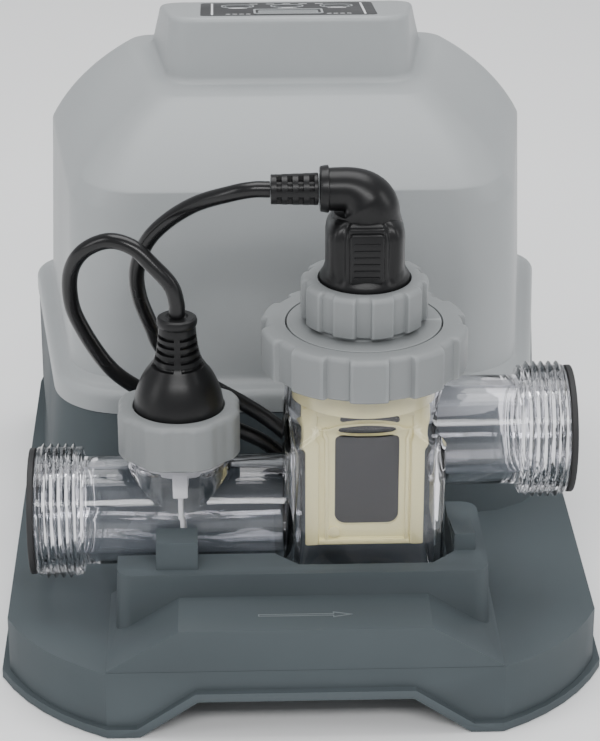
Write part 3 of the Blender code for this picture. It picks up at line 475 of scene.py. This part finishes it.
def add_lead(name, node, route):
    """A round sheathed lead from its gland to its plug."""
    sides = 24
    path = smooth_route(route)
    rings = []
    side = Vector((0, 0, 1))
    for i, point in enumerate(path):
        way = (path[min(i + 1, len(path) - 1)] - path[max(i - 1, 0)]).normalized()
        side = (side - way * side.dot(way)).normalized()
        other = way.cross(side)
        turns = [FULL * k / sides for k in range(sides)]
        rings.append([point + (side * cos(turn) + other * sin(turn)) * LEAD_RADIUS
                      for turn in turns])
    piece = made(name, loft(rings), LEAD, None)
    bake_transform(piece)
    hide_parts(node)


# ---------------------------------------------------------------- control box

# The flange at the seam, in plan: it widens from front to rear.
FLANGE_FRONT, FLANGE_REAR = -13.5, 162.5
HALF_FRONT, HALF_REAR = 110.5, 132.3
FLANGE_SLOPE = (HALF_REAR - HALF_FRONT) / (FLANGE_REAR - FLANGE_FRONT)
NOSE_RADIUS, TAIL_RADIUS = 36, 20
# The walls above it, then the shoulders and the level plateau round the console.
BODY_INSET = 8.0
DRAFT = radians(2)
LEDGE_Z, SHOULDER_Z, CREASE_Z, PLATEAU_Z = 95.5, 178.0, 187.0, 218.0
PLATEAU_FRONT, PLATEAU_REAR = 41.0, 141.0
PLATEAU_HALF_FRONT, PLATEAU_HALF_REAR = 63.5, 80.5
# Each shoulder's slope at its foot and at its top.
SIDE_LEAN = radians(70), radians(36)
FRONT_LEAN = radians(52), radians(33)
# The sloped face of the console.
PANEL_FRONT, PANEL_Z, PANEL_DEPTH = 64.5, 249.6, 64.0
TILT = radians(10)
BODY_STEPS, CONSOLE_STEPS = 14, 10


def trapezium(half_front, half_rear, front, rear, nose, tail, steps):
    """A rounded plan whose front and rear differ in width and corner radius."""
    return rounded([(-half_front, front, nose), (half_front, front, nose),
                    (half_rear, rear, tail), (-half_rear, rear, tail)], steps)


def enclosure(inset, z):
    return at(trapezium(
        HALF_FRONT - inset + FLANGE_SLOPE * inset, HALF_REAR - inset - FLANGE_SLOPE * inset,
        FLANGE_FRONT + inset, FLANGE_REAR - inset,
        max(NOSE_RADIUS - inset, 2), max(TAIL_RADIUS - inset, 2), BODY_STEPS), z)


def lean(share, steep, shallow):
    """Inset share reached at a height share, on an arc whose slope falls from steep to shallow."""
    slope = acos(cos(steep) + share * (cos(shallow) - cos(steep)))
    return (sin(steep) - sin(slope)) / (sin(steep) - sin(shallow))


def body_ring(z):
    """The walls' plan at height z. The front leans in later than the sides and the rear."""
    side = lean(clamped((z - SHOULDER_Z) / (PLATEAU_Z - SHOULDER_Z)), *SIDE_LEAN)
    front = lean(clamped((z - CREASE_Z) / (PLATEAU_Z - CREASE_Z)), *FRONT_LEAN)
    inset = (z - LEDGE_Z) * tan(DRAFT) + BODY_INSET
    return at(trapezium(
        mixed(HALF_FRONT - inset + FLANGE_SLOPE * inset, PLATEAU_HALF_FRONT, side),
        mixed(HALF_REAR - inset - FLANGE_SLOPE * inset, PLATEAU_HALF_REAR, side),
        mixed(FLANGE_FRONT + inset, PLATEAU_FRONT, front),
        mixed(FLANGE_REAR - inset, PLATEAU_REAR, side),
        mixed(32, 15, side), mixed(18, 12, side), BODY_STEPS), z)


def panel_z(y):
    return PANEL_Z - (y - PANEL_FRONT) * tan(TILT)


def console_ring(spread, rise=None, z=None):
    """The console's plan, spread outwards; its height follows the panel, or is level at z."""
    ring = trapezium(55 + spread * 0.4, 61 + spread * 1.25, PANEL_FRONT - spread,
                     PANEL_FRONT + PANEL_DEPTH + spread, 16, 9, CONSOLE_STEPS)
    return [Vector((x, y, panel_z(y) + rise if z is None else z)) for x, y in ring]


def add_walls():
    rings = [enclosure(0.8, 80.3), enclosure(0.2, 80.6), enclosure(0, 81.2), enclosure(0, 87.5)]
    bead = 4.2
    for angle in quarter():
        rings.append(enclosure(bead * (1 - cos(angle)), 87.8 + bead * sin(angle)))
    rings += [enclosure(5.6, 92.5), enclosure(6.8, 93.1), enclosure(7.5, 94.0), body_ring(95.2)]
    rings += [body_ring(z) for z in (97, 110, 130, 150, 165, 174, 177.4)]
    rings += [body_ring(z) for z in (178.6, 180, 182, 184, 186.2, 186.8, 187.4, 188.4, 190)]
    rings += [body_ring(192 + 26 * k / 16) for k in range(17)]
    top = body_ring(PLATEAU_Z)
    middle = 92
    inner = [Vector((p.x * 0.97, middle + (p.y - middle) * 0.965, PLATEAU_Z + 0.5)) for p in top]
    rings += [blended(top, inner, 0.12), blended(top, inner, 0.3), inner]
    made("box_moulding", loft(rings), GREY, "root", ["box_shell"], 40)


def add_console():
    """The terrace: a hollow curve up from the plateau, a plain wall and a rounded rim."""
    rings = [console_ring(9, z=216.0), console_ring(8.2, z=218.3)]
    hollow = 3.4
    for angle in quarter():
        rings.append(console_ring(8.2 - hollow * sin(angle), z=218.4 + hollow * (1 - cos(angle))))
    waist, shoulder = console_ring(4.8, z=221.8), console_ring(2.0, rise=-3.4)
    rings += [blended(waist, shoulder, k / 5) for k in range(1, 6)]
    for angle in quarter():
        rings.append(console_ring(2.0 - 2.6 * (1 - cos(angle)), rise=-3.4 + 3.3 * sin(angle)))
    made("console_moulding", loft(rings), GREY, "root", (), 40)


def on_panel(shape):
    """Moves a shape built flat on z=0 onto the panel: its y runs down the slope."""
    place = Matrix.Translation((0, PANEL_FRONT, PANEL_Z)) @ Matrix.Rotation(-TILT, 4, "X")
    bmesh.ops.transform(shape, matrix=place, verts=shape.verts)
    return shape


def add_panel():
    """What is printed on the membrane: strips, marks, and rings round the keys and display."""
    key_xs = (-24, 0, 24)
    marks = bmesh.new()

    def mark(x, y, half_x, half_y, radius):
        pad(marks, x, y, half_x, half_y, radius, -0.05, 0.10, 0.04)

    for side in (-1, 1):
        mark(side * 36.4, 32, 0.5, 24, 0.4)
    for k in range(5):
        mark(-16 + 8 * k, 52.5, 2.0, 0.35, 0.3)
    for x in key_xs:
        mark(x, 34.5, 4.5, 0.3, 0.25)
        mark(x, 36.2, 2.8, 0.3, 0.25)
    for x in (-24, 24):
        for k in range(4):
            mark(x + (k - 1.5) * 3.2, 10.5, 1.1, 0.45, 0.4)
    made("label_marks", on_panel(marks), WHITE, "root", ())
    borders = bmesh.new()

    def border(outer, inner, height):
        add_loft(borders, [at(outer, 0.0), at(outer, height), at(inner, height), at(inner, 0.0)],
                 closed=True)

    for x in key_xs:
        border(rect(x, 43, 8.0, 6.0, 5.0, 10), rect(x, 43, 7.3, 5.3, 4.3, 10), 0.22)
    border(rect(0, 20, 16.6, 9.4, 2.4), rect(0, 20, 15.6, 8.4, 1.8), 0.3)
    made("label_borders", on_panel(borders), GREY, "root", ())


# ---------------------------------------------------------------- clear manifold

CELL_AXIS = (CELL_X, PIPE_Y, 0)
SENSOR_AXIS = (SENSOR_X, PIPE_Y, 0)
INLET_RIM, OUTLET_RIM = -116.5, 116.0
SEAL_DEPTH = 2.7
NECK_RADIUS = 34.6
WALL = 3.2
HOUSING_FLOOR = 41.3
THREAD_LENGTH, THREAD_ROOT, THREAD_CREST, THREAD_TURNS = 20.0, 28.3, 29.9, 6


def super_radius(half_x, half_y, power=9.0):
    """The radius at an angle of a rectangle with superelliptic corners."""
    def radius(angle):
        across = (abs(cos(angle)) / half_x) ** power
        along = (abs(sin(angle)) / half_y) ** power
        return 1.0 / (across + along) ** (1 / power)
    return radius


def housing_circle(radius_of, z):
    return circle(radius_of, z, CELL_AXIS, count=112, phase=0.5)


def housing_rings(shrink, floor, heights, neck):
    """The cell housing: a rounded square that closes through an arched shoulder to a round neck."""
    square = super_radius(35 - shrink, 31 - shrink)
    rings = []
    for z in heights:
        arch = mixed(46.0, 34.5, smooth((z - 104.0) / 20.0)) - shrink
        merge = smooth((z - 118.5) / 5.0)
        foot = clamped((z - floor) / 4.5)
        inset = 3.2 * (1 - (1 - (1 - foot) ** 2) ** 0.5)
        rings.append(housing_circle(
            lambda a: mixed(min(square(a), arch), neck, merge) - inset, z))
    return rings


def threaded(rim, inner, z):
    """A pipe end from its rim inwards: one rounded helical thread, a shoulder, then plain pipe."""
    way = 1 if inner > rim else -1
    pitch = THREAD_LENGTH / THREAD_TURNS
    steps = THREAD_TURNS * 8

    def ring(radius_of, along):
        return circle(radius_of, rim + along * way, (0, PIPE_Y, z), "X")

    def radius(angle, along):
        fade = clamped(min((along - 1.0) / 1.5, (THREAD_LENGTH - 1.2 - along) / 1.5))
        turn = (along / pitch - angle / FULL) % 1.0
        ridge = smooth(1 - abs(turn - 0.5) / 0.36)
        return THREAD_ROOT + (THREAD_CREST - THREAD_ROOT) * fade * ridge

    rings = [ring(26.6, 0.0), ring(27.6, 0.2), ring(28.2, 0.8)]
    for k in range(1, steps):
        along = THREAD_LENGTH * k / steps
        if along >= 1.0:
            rings.append(ring(lambda a: radius(a, along), along))
    rings += [ring(r, along) for r, along in (
        (28.4, 19.6), (28.2, 20.3), (27.4, 20.8), (25.2, 21.0), (24.3, 21.3), (24.0, 22.2))]
    rings.append(circle(24.0, inner, (0, PIPE_Y, z), "X"))
    return loft(rings)


def combined(target, shape, operation):
    """Joins a closed shape to the target, or cuts it away."""
    tool = shown(bpy.data.objects.new("tool", mesh_of("tool", shape)))
    modifier = target.modifiers.new("combine", "BOOLEAN")
    modifier.operation = operation
    modifier.solver = "EXACT"
    modifier.object = tool
    evaluated = target.evaluated_get(bpy.context.evaluated_depsgraph_get())
    mesh = bpy.data.meshes.new_from_object(evaluated)
    target.modifiers.clear()
    target.data = mesh
    bpy.data.objects.remove(tool, do_unlink=True)


def add_manifold():
    """One clear moulding. Each tool has its own phase, so that no two shapes share an edge."""
    outer = [HOUSING_FLOOR + 0.9 * k for k in range(6)]
    outer += [50, 60, 72, 84, 92, 98] + [100 + k for k in range(26)]
    rings = housing_rings(0.0, HOUSING_FLOOR, outer, NECK_RADIUS)
    rings += [housing_circle(r, z) for r, z in (
        (NECK_RADIUS, 139), (38.2, 141), (38.2, 149.6), (37.8, 150))]
    name = "manifold_moulding"
    body = shown(bpy.data.objects.new(name, mesh_of(name, loft(rings))))
    combined(body, threaded(INLET_RIM, 3.0, INLET_Z), "UNION")
    combined(body, threaded(OUTLET_RIM, 52.0, OUTLET_Z), "UNION")
    combined(body, loft([circle(r, z, SENSOR_AXIS, count=80, phase=0.37) for r, z in (
        (23, 71), (23, 99.6), (23.6, 100.6), (24.5, 101.2), (24.5, 111.6), (24.1, 112))]), "UNION")
    room_floor, room_neck = 44.5, 31.5
    inner = [room_floor + 0.9 * k for k in range(6)]
    inner += [54, 72, 90, 98] + [100 + 2 * k for k in range(13)]
    room = housing_rings(WALL, room_floor, inner, room_neck)
    room.append(housing_circle(room_neck, 156))
    combined(body, loft(room), "DIFFERENCE")
    for ends, z in (((-125, 4), INLET_Z), ((50, 125), OUTLET_Z)):
        bore = loft([circle(19.5, x, (0, PIPE_Y, z), "X", 80, 0.29) for x in ends])
        combined(body, bore, "DIFFERENCE")
    bore = loft([circle(18.5, z, SENSOR_AXIS, count=80, phase=0.11) for z in (70, 120)])
    combined(body, bore, "DIFFERENCE")
    mesh = body.data
    mesh.transform(Matrix.Scale(MM, 4))
    bpy.data.objects.remove(body, do_unlink=True)
    placed(name, mesh, CLEAR, "root", ["manifold"], 38)
    for end, x, z in (("inlet", -119.5, INLET_Z), ("outlet", 116.3, OUTLET_Z)):
        profile = [(21, x), (28, x), (28, x + SEAL_DEPTH), (21, x + SEAL_DEPTH)]
        made(f"{end}_seal", turned(profile, (0, PIPE_Y, z), "X", 96, 0.7), RUBBER, "root",
             [f"{end}_gasket"])


# ---------------------------------------------------------------- collars

def add_collar(name, body, centre, radius, root, low, high, bore, opening, lip, ribs, turn,
               share, flank):
    """A ribbed nut: flat-topped ribs with eased flanks, a lip on top and a threaded bore."""
    count = ribs * 28
    under_lip = high - lip

    def rib(angle):
        place = ((angle - turn + pi / 2) / FULL * ribs + 0.5) % 1.0 - 0.5
        return smooth((share / 2 + flank / 2 - abs(place)) / flank)

    def ribbed(drop):
        return lambda angle: root + (radius - root) * rib(angle) - drop

    outside = [(1.6, low), (0.7, low + 0.25), (0.1, low + 0.9), (0, low + 1.8),
               (0, (low + high) / 2), (0, high - 2.6), (0.15, high - 1.7), (0.6, high - 0.9),
               (1.4, high - 0.3), (2.4, high)]
    inside = [(root - 3.6, high), (opening + 0.8, high), (opening + 0.2, high - 0.2),
              (opening, high - 0.8), (opening, under_lip), (bore, under_lip)]
    steps = int((under_lip - low) / 3.0) * 4
    for k in range(steps, 0, -1):
        inside.append((bore - (0.0, 0.25, 0.4, 0.25)[k % 4],
                       low + (under_lip - low) * k / (steps + 1)))
    rings = [circle(bore, low, centre, count=count)]
    rings += [circle(ribbed(drop), z, centre, count=count) for drop, z in outside]
    rings += [circle(r, z, centre, count=count) for r, z in inside]
    made(name, loft(rings, closed=True), COLLAR, body, [body], 34)


def add_collars():
    add_collar("cell_nut", "cell_collar", CELL_AXIS, radius=44.9, root=42.6, low=140.5,
               high=160.0, bore=39.2, opening=34.0, lip=4.0, ribs=10, turn=0.0, share=0.60,
               flank=0.045)
    add_collar("plug_nut", "plug_collar", CELL_AXIS, radius=27.4, root=25.6, low=162.0,
               high=180.5, bore=24.0, opening=20.0, lip=3.2, ribs=10, turn=radians(14),
               share=0.60, flank=0.055)
    add_collar("sensor_nut", "sensor_collar", SENSOR_AXIS, radius=27.4, root=26.2, low=100.5,
               high=121.5, bore=25.3, opening=20.0, lip=3.2, ribs=8, turn=radians(22.5),
               share=0.55, flank=0.25)


# ---------------------------------------------------------------- cell

FRAME_FRONT = PIPE_Y - 17.5
FRAME_LOW, FRAME_HIGH = 60.0, 127.6
RIB_REAR = FRAME_FRONT + 2.4


def add_cap():
    profile = [(0, 128), (31.1, 128), (31.1, 139.4), (0, 139.4)]
    made("electrode_holder_head", turned(profile, CELL_AXIS, "Z", 128, 0.6), CREAM, "cell",
         ())
    profile = [(0, 139.5), (28.2, 139.5), (28.2, 144.3), (31.1, 144.3), (31.1, 150.3),
               (37.5, 150.3), (37.5, 155.6), (33.4, 155.6), (33.4, 160), (23.2, 160), (23.2, 173),
               (15.2, 173), (15.2, 166), (0, 166)]
    made("cap_moulding", turned(profile, CELL_AXIS, "Z", 128, 0.6), COLLAR, "cell",
         ["cell_cap"])
    profile = [(28.5, 140.2), (31.2, 140.2), (31.2, 143.6), (28.5, 143.6)]
    made("cap_seal", turned(profile, CELL_AXIS, "Z", 96, 1.3), RUBBER, "cell",
         ["cell_o_ring"])


def add_frame():
    """The cream frame: two walls with a window, a tray joining them, and the ribs in front."""
    middle, half = (FRAME_LOW + FRAME_HIGH) / 2, (FRAME_HIGH - FRAME_LOW) / 2
    walls = bmesh.new()
    outer = rect(CELL_X, middle, 26.5, half, 1.2)
    window = rect(CELL_X + 1, 92.6, 14, 23, 5.0)
    for y0, y1 in ((FRAME_FRONT + 1.5, FRAME_FRONT + 3.4), (PIPE_Y + 14.3, PIPE_Y + 17.5)):
        add_loft(walls, [upright(outer, y0), upright(outer, y1), upright(window, y1),
                         upright(window, y0)], closed=True)
    for x in (-25.0, 25.0):
        pad(walls, CELL_X + x, PIPE_Y, 1.5, 16.6, 0.8, FRAME_LOW, FRAME_HIGH, 0.5)
    pad(walls, CELL_X, PIPE_Y, 24, 16.4, 2.0, FRAME_LOW, FRAME_LOW + 3.6, 0.4)
    made("electrode_holder", walls, CREAM, "cell", ["electrode_frame"], 30)
    ribs = bmesh.new()
    for x, z, half_x, half_z, radius, out, edge in (
            (-23.2, middle, 3.2, half - 0.3, 1.2, -0.2, 0.9),
            (23.2, middle, 3.2, half - 0.3, 1.2, -0.2, 0.9),
            (-16.6, middle - 3.5, 0.9, half - 6, 0.7, 0.1, 0.6),
            (18.4, middle - 3.5, 0.9, half - 6, 0.7, 0.1, 0.6),
            (0.5, 116.9, 19.5, 0.6, 0.5, -0.1, 0.4),
            (0.5, 124.9, 21.0, 2.0, 0.9, -0.1, 0.6),
            (0, 61.8, 20, 1.2, 0.8, 0, 0.6)):
        front_pad(ribs, CELL_X + x, z, half_x, half_z, radius, FRAME_FRONT + out, RIB_REAR, edge)
    profile = [(0, FRAME_FRONT + 0.2), (2.7, FRAME_FRONT + 0.2), (2.7, RIB_REAR), (0, RIB_REAR)]
    boss = turned(profile, (CELL_X - 13.2, 0, 66.6), "Y", 40, 0.3)
    made("electrode_holder_boss", boss, CREAM, "cell", ())
    made("electrode_holder_ribs", ribs, CREAM, "cell", (), 30)


def add_plates():
    for number in range(1, 6):
        y = PIPE_Y + (number - 3) * 5.0
        plate = bmesh.new()
        front_pad(plate, CELL_X, 95.3, 22.9, 30.6, 1.5, y - 0.6, y + 0.6, 0.15)
        made(f"plate_{number}", plate, PLATE, "cell",
             [f"electrode_plate_{number}"])
    slot = bmesh.new()
    front_pad(slot, CELL_X + 2, 120.2, 12.6, 1.6, 1.4, FRAME_FRONT + 1.1, FRAME_FRONT + 2.2, 0.3)
    made("electrode_holder_slot", slot, PLATE, "cell", ())


# ---------------------------------------------------------------- plugs

PLUG_FRONT = PIPE_Y - 17.3
ELBOW_Z = 220.2
RELIEF_START, RELIEF_END = -12.5, 7.6
RELIEF_SLOTS = [-9.0 + 4.6 * k for k in range(4)]


def add_plug_body():
    """A skirt inside the collar, then a squarish body that rounds over at its top."""
    plain = super_radius(16.8, 16.8, 3.6)

    def square(angle):
        """Squarish plan with a deep flute on each side of the front and rear grips."""
        flute = sum(exp(-((((angle - middle + pi) % FULL) - pi) / 0.085) ** 2)
                    for middle in (-pi / 2 - 0.60, -pi / 2 + 0.60, pi / 2 - 0.60, pi / 2 + 0.60))
        return plain(angle) - 1.5 * min(flute, 1.0)

    def ring(radius_of, z):
        return circle(radius_of, z, CELL_AXIS, count=192)

    rings = [ring(r, z) for r, z in (
        (14.6, 168.6), (14.8, 168.9), (14.8, 173.2), (22.6, 173.3), (23, 173.7), (23, 176.6),
        (22.6, 177), (19.4, 177.1), (19.3, 177.4))]
    for z, share, r in ((181.0, 0.0, 19.3), (182.0, 0.0, 19.2), (182.7, 0.1, 18.9),
                        (184.0, 0.35, 18.3), (186.0, 0.75, 17.6), (188.5, 1.0, 17),
                        (194, 1.0, 17), (198, 1.0, 17), (201, 1.0, 17)):
        rings.append(ring(lambda a: mixed(r, square(a), share), z))
    for drop, z in ((0.25, 203.0), (0.9, 205.0), (2.0, 206.8), (3.6, 208.2), (5.6, 209.2),
                    (8.5, 210.0)):
        rings.append(ring(lambda a: square(a) - drop, z))
    made("plug_body", loft(rings), PLUG, "plug", ["cell_plug"], 40)


def add_plug_elbow():
    """A swept quarter bend that widens from the relief to the body."""
    path = [(8.3, ELBOW_Z, 0.0, 8.3), (8.7, ELBOW_Z, 0.0, 8.8), (11.0, ELBOW_Z, 0.0, 9.0),
            (14.0, ELBOW_Z, 0.0, 9.2)]
    bend = 10
    for k in range(17):
        angle = pi / 2 * (k / 16)
        path.append((18.2 + bend * sin(angle), ELBOW_Z - bend + bend * cos(angle), angle,
                     9.3 + 4.7 * smooth(k / 16)))
    path += [(28.2, 207.0, pi / 2, 14.8), (28.0, 203.0, pi / 2, 15.4), (27.9, 199.0, pi / 2, 15.6)]
    sides, half_width, inner_reach = 64, 12.4, -9.6
    rings = []
    for x, z, tilt, radius in path:
        ring = []
        for k in range(sides):
            angle = FULL * k / sides
            out, across = radius * cos(angle), min(radius, half_width) * sin(angle)
            if 0.0 < tilt < pi / 2:
                # The rings fan out from the bend's centre, and past it they would cross.
                out = max(out, inner_reach)
            ring.append(Vector((x + out * sin(tilt), PIPE_Y + across, z + out * cos(tilt))))
        rings.append(ring)
    made("plug_elbow", loft(rings), PLUG, "plug", (), 40)


def add_plug_grip():
    """The ribbed panel on the plug's front, the ridge above it, and a band at the lead's end."""
    grip = bmesh.new()
    front_pad(grip, CELL_X, 194.6, 7.4, 11.2, 1.8, PLUG_FRONT - 0.3, PLUG_FRONT + 5, 0.8)
    for k in range(6):
        front_pad(grip, CELL_X, 186.6 + 3.0 * k, 5.6, 0.42, 0.4, PLUG_FRONT - 0.85,
                  PLUG_FRONT + 1, 0.3)
    made("plug_grip", grip, PLUG, "plug", (), 30)
    ridge = bmesh.new()
    front_pad(ridge, CELL_X, 206.4, 8.0, 1.5, 1.3, PIPE_Y - 15.9, PIPE_Y - 10, 0.9)
    made("plug_ridge", ridge, PLUG, "plug", (), 40)
    profile = [(0, 8.2), (9.6, 8.2), (10.2, 12.0), (0, 12.0)]
    made("plug_band", turned(profile, (0, PIPE_Y, LEAD_IN_Z), "X", 64, 0.7), PLUG, "plug",
         ())


def off_spine(angle):
    """How far an angle is from the nearest of four spines."""
    return abs(((angle + pi / 4) % (pi / 2)) - pi / 4)


def add_relief():
    """Strain relief: a sleeve with four rings of slots between its four spines."""
    def radius(angle, x):
        slotted = any(abs(x - middle) < 1.05 for middle in RELIEF_SLOTS)
        if slotted and off_spine(angle) > 0.26:
            return 4.3
        return mixed(6.3, 6.9, (x + 12.4) / 20.0)

    stations = [RELIEF_START, -12.3, 7.2, RELIEF_END]
    for middle in RELIEF_SLOTS:
        stations += [middle - 1.12, middle - 1.0, middle + 1.0, middle + 1.12]
    rings = []
    for x in sorted(stations):
        edge = 0.4 if x in (RELIEF_START, RELIEF_END) else 0.0
        rings.append(circle(lambda a: radius(a, x) - edge, x, (0, PIPE_Y, LEAD_IN_Z), "X"))
    piece = made("relief_sleeve", loft(rings), PLUG, None, (), 30)
    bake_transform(piece)
    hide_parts("plug_strain_relief")


def add_sensor_plug():
    """A bell that narrows to a neck with rings of slots between four spines."""
    bell = [(19.4, 118.1), (19.5, 118.6), (19.5, 122.4), (19.3, 124.5), (18.8, 127), (17.9, 130),
            (16.6, 133.2), (15.5, 135.4), (14.3, 137.3), (12.4, 139.8), (10.9, 142.0),
            (9.9, 144.6), (9.3, 147.0), (8.9, 149.4), (8.6, 152.0), (8.3, 155.0), (8.05, 157.6),
            (7.9, 158.5)]
    top = [(8.3, 159.1), (8.7, 159.8), (8.8, 161.2), (8.4, 162.4), (7.4, 163.0), (5.0, 163.0),
           (4.2, 162.4)]
    slots = [141.6, 144.9, 148.2, 151.5, 154.8]

    def ring(radius_of, z):
        return circle(radius_of, z, SENSOR_AXIS, count=128)

    def bell_radius(z):
        for (r0, z0), (r1, z1) in zip(bell, bell[1:]):
            if z <= z1:
                return mixed(r0, r1, (z - z0) / (z1 - z0))
        return bell[-1][0]

    def radius(angle, z):
        slotted = any(abs(z - s) < 0.8 for s in slots)
        return bell_radius(z) - (1.7 if slotted and off_spine(angle + pi / 2) > 0.17 else 0.0)

    heights = {z for _, z in bell}
    for z in slots:
        heights |= {z - 0.85, z - 0.7, z + 0.7, z + 0.85}
    rings = [ring(18.6, 118.1)]
    rings += [ring(lambda a: radius(a, z), z) for z in sorted(heights)]
    rings += [ring(r, z) for r, z in top]
    made("sensor_bell", loft(rings), PLUG, "sensor", ["sensor_plug"], 30)


def add_sensor():
    """The moulding inside the branch with its seal, and the paddle that hangs in the flow."""
    profile = [(0, 92), (9, 92), (12, 96.5), (18.1, 96.5), (18.1, 101.5), (15.4, 101.5),
               (15.4, 105.5), (18.1, 105.5), (18.1, 112.3), (24, 112.3), (24, 117.8), (0, 117.8)]
    holder = turned(profile, SENSOR_AXIS, "Z", 80, 0.5)
    for side in (-1, 1):
        pad(holder, SENSOR_X, PIPE_Y + side * 9.4, 3, 1.2, 0.5, 82, 97, 0.4)
    made("sensor_holder", holder, SENSOR_WHITE, "sensor",
         ["sensor_body", "reed_switch"])
    profile = [(15.7, 101.9), (18.2, 101.9), (18.2, 105.1), (15.7, 105.1)]
    made("sensor_seal", turned(profile, SENSOR_AXIS, "Z", 80, 1.2), RUBBER, "sensor",
         ["sensor_o_ring"])
    profile = [(0, PIPE_Y - 7.9), (3, PIPE_Y - 7.9), (3, PIPE_Y + 7.9), (0, PIPE_Y + 7.9)]
    paddle = turned(profile, (SENSOR_X, 0, 86), "Y", 32, 0.3)
    pad(paddle, SENSOR_X, PIPE_Y, 1.0, 7.9, 0.6, 56, 85, 0.3)
    made("paddle_moulding", paddle, SENSOR_WHITE, "sensor_paddle",
         ["sensor_paddle"])


# ---------------------------------------------------------------- base trim

def add_arrow():
    """A flow arrow, printed in outline on the ledge in front of the cradle."""
    middle, ledge = -150.0, 49.53
    low, high = ledge - 0.05, ledge + 0.15
    outer = [(-20, 0.9), (12, 0.9), (12, 2.4), (20.5, 0), (12, -2.4), (12, -0.9), (-20, -0.9)]
    inner = [(-19.5, 0.45), (12.5, 0.45), (12.5, 1.6), (18.6, 0), (12.5, -1.6), (12.5, -0.45),
             (-19.5, -0.45)]
    shape = loft([[Vector((x, middle + y, z)) for x, y in line]
                  for line, z in ((outer, low), (outer, high), (inner, high), (inner, low))],
                 closed=True)
    made("flow_arrow", shape, LIGHT_GREY, "root", ())


# ---------------------------------------------------------------- stage

# Metres and watts: name, place, aim, width, height, power.
LAMPS = (
    ("front_strip", (0.0, -1.75, 1.55), (0, -0.09, 0.07), 1.9, 0.42, 26),
    ("overhead", (0.0, 0.35, 1.9), (0, 0.05, 0.1), 1.8, 1.2, 30),
    ("left_fill", (-1.9, -0.7, 0.9), (0, 0, 0.12), 0.5, 1.2, 7),
    ("right_fill", (1.9, -0.5, 0.9), (0, 0, 0.12), 0.5, 1.2, 7),
)
FLOOR_HALF, FLOOR_FRONT, FLOOR_REAR = 4, -3, 6
FLOOR_Z = -0.0004


def add_floor():
    floor = bpy.data.meshes.new("floor")
    floor.from_pydata([(-FLOOR_HALF, FLOOR_FRONT, FLOOR_Z), (FLOOR_HALF, FLOOR_FRONT, FLOOR_Z),
                       (FLOOR_HALF, FLOOR_REAR, FLOOR_Z), (-FLOOR_HALF, FLOOR_REAR, FLOOR_Z)],
                      [], [(0, 1, 2, 3)])
    n = Nodes("floor_paint")
    shader = n.add("ShaderNodeBsdfPrincipled")
    shader.inputs["Roughness"].default_value = 0.9
    tone = n.mixed(n.spread(n.noise(3.0), 0, 1), (0.90, 0.90, 0.90), (0.92, 0.92, 0.92))
    n.link(tone, shader.inputs["Base Color"])
    n.link(shader.outputs["BSDF"], n.out.inputs["Surface"])
    floor.materials.append(n.material)
    shown(bpy.data.objects.new("floor", floor))


def add_lights():
    world = bpy.data.worlds.new("studio")
    world.use_nodes = True
    background = world.node_tree.nodes["Background"]
    background.inputs["Color"].default_value = (0.95, 0.97, 1.0, 1)
    background.inputs["Strength"].default_value = 0.55
    bpy.context.scene.world = world
    for name, place, aim, width, height, power in LAMPS:
        light = bpy.data.lights.new(name, "AREA")
        light.shape = "RECTANGLE"
        light.size = width
        light.size_y = height
        light.energy = power
        lamp = shown(bpy.data.objects.new(name, light))
        lamp.location = place
        lamp.rotation_euler = (Vector(aim) - Vector(place)).to_track_quat("-Z", "Y").to_euler()


def finish_nodes():
    """Finishes for the CAD pieces that are shown as they are."""
    looks = {
        "display_window": WINDOW, "display_board": BOARD, "display_module": LABEL,
        "console_label": LABEL, "transformer": STEEL, "power_board": BOARD,
        "heat_sink": ALUMINIUM, "cell_terminals": STEEL, "paddle_pin": STEEL,
        "box_gasket": RUBBER,
    }
    for node, look in looks.items():
        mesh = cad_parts[node].data
        mesh.materials.clear()
        mesh.materials.append(look)


add_camera()
add_plug_body()
add_plug_elbow()
add_plug_grip()
add_relief()
add_sensor_plug()
add_sensor()
add_lead("cell_cable", "cell_lead", CELL_LEAD)
add_lead("sensor_cable", "sensor_lead", SENSOR_LEAD)
refined("base", SLATE, "root", 0.55, angle=26.0, sharp=26.0)
add_walls()
add_console()
add_panel()
add_manifold()
add_collars()
add_cap()
add_frame()
add_plates()
add_arrow()
for gland in ("cell_gland", "sensor_gland", "power_grommet"):
    refined(gland, RUBBER, "root", 0.35)
for button in ("timer_button", "power_button", "boost_button"):
    refined(button, LABEL, button, 0.25)
for number in range(1, 5):
    refined(f"box_screw_{number}", STEEL, "root", 0.25)
finish_nodes()
add_floor()
add_lights()
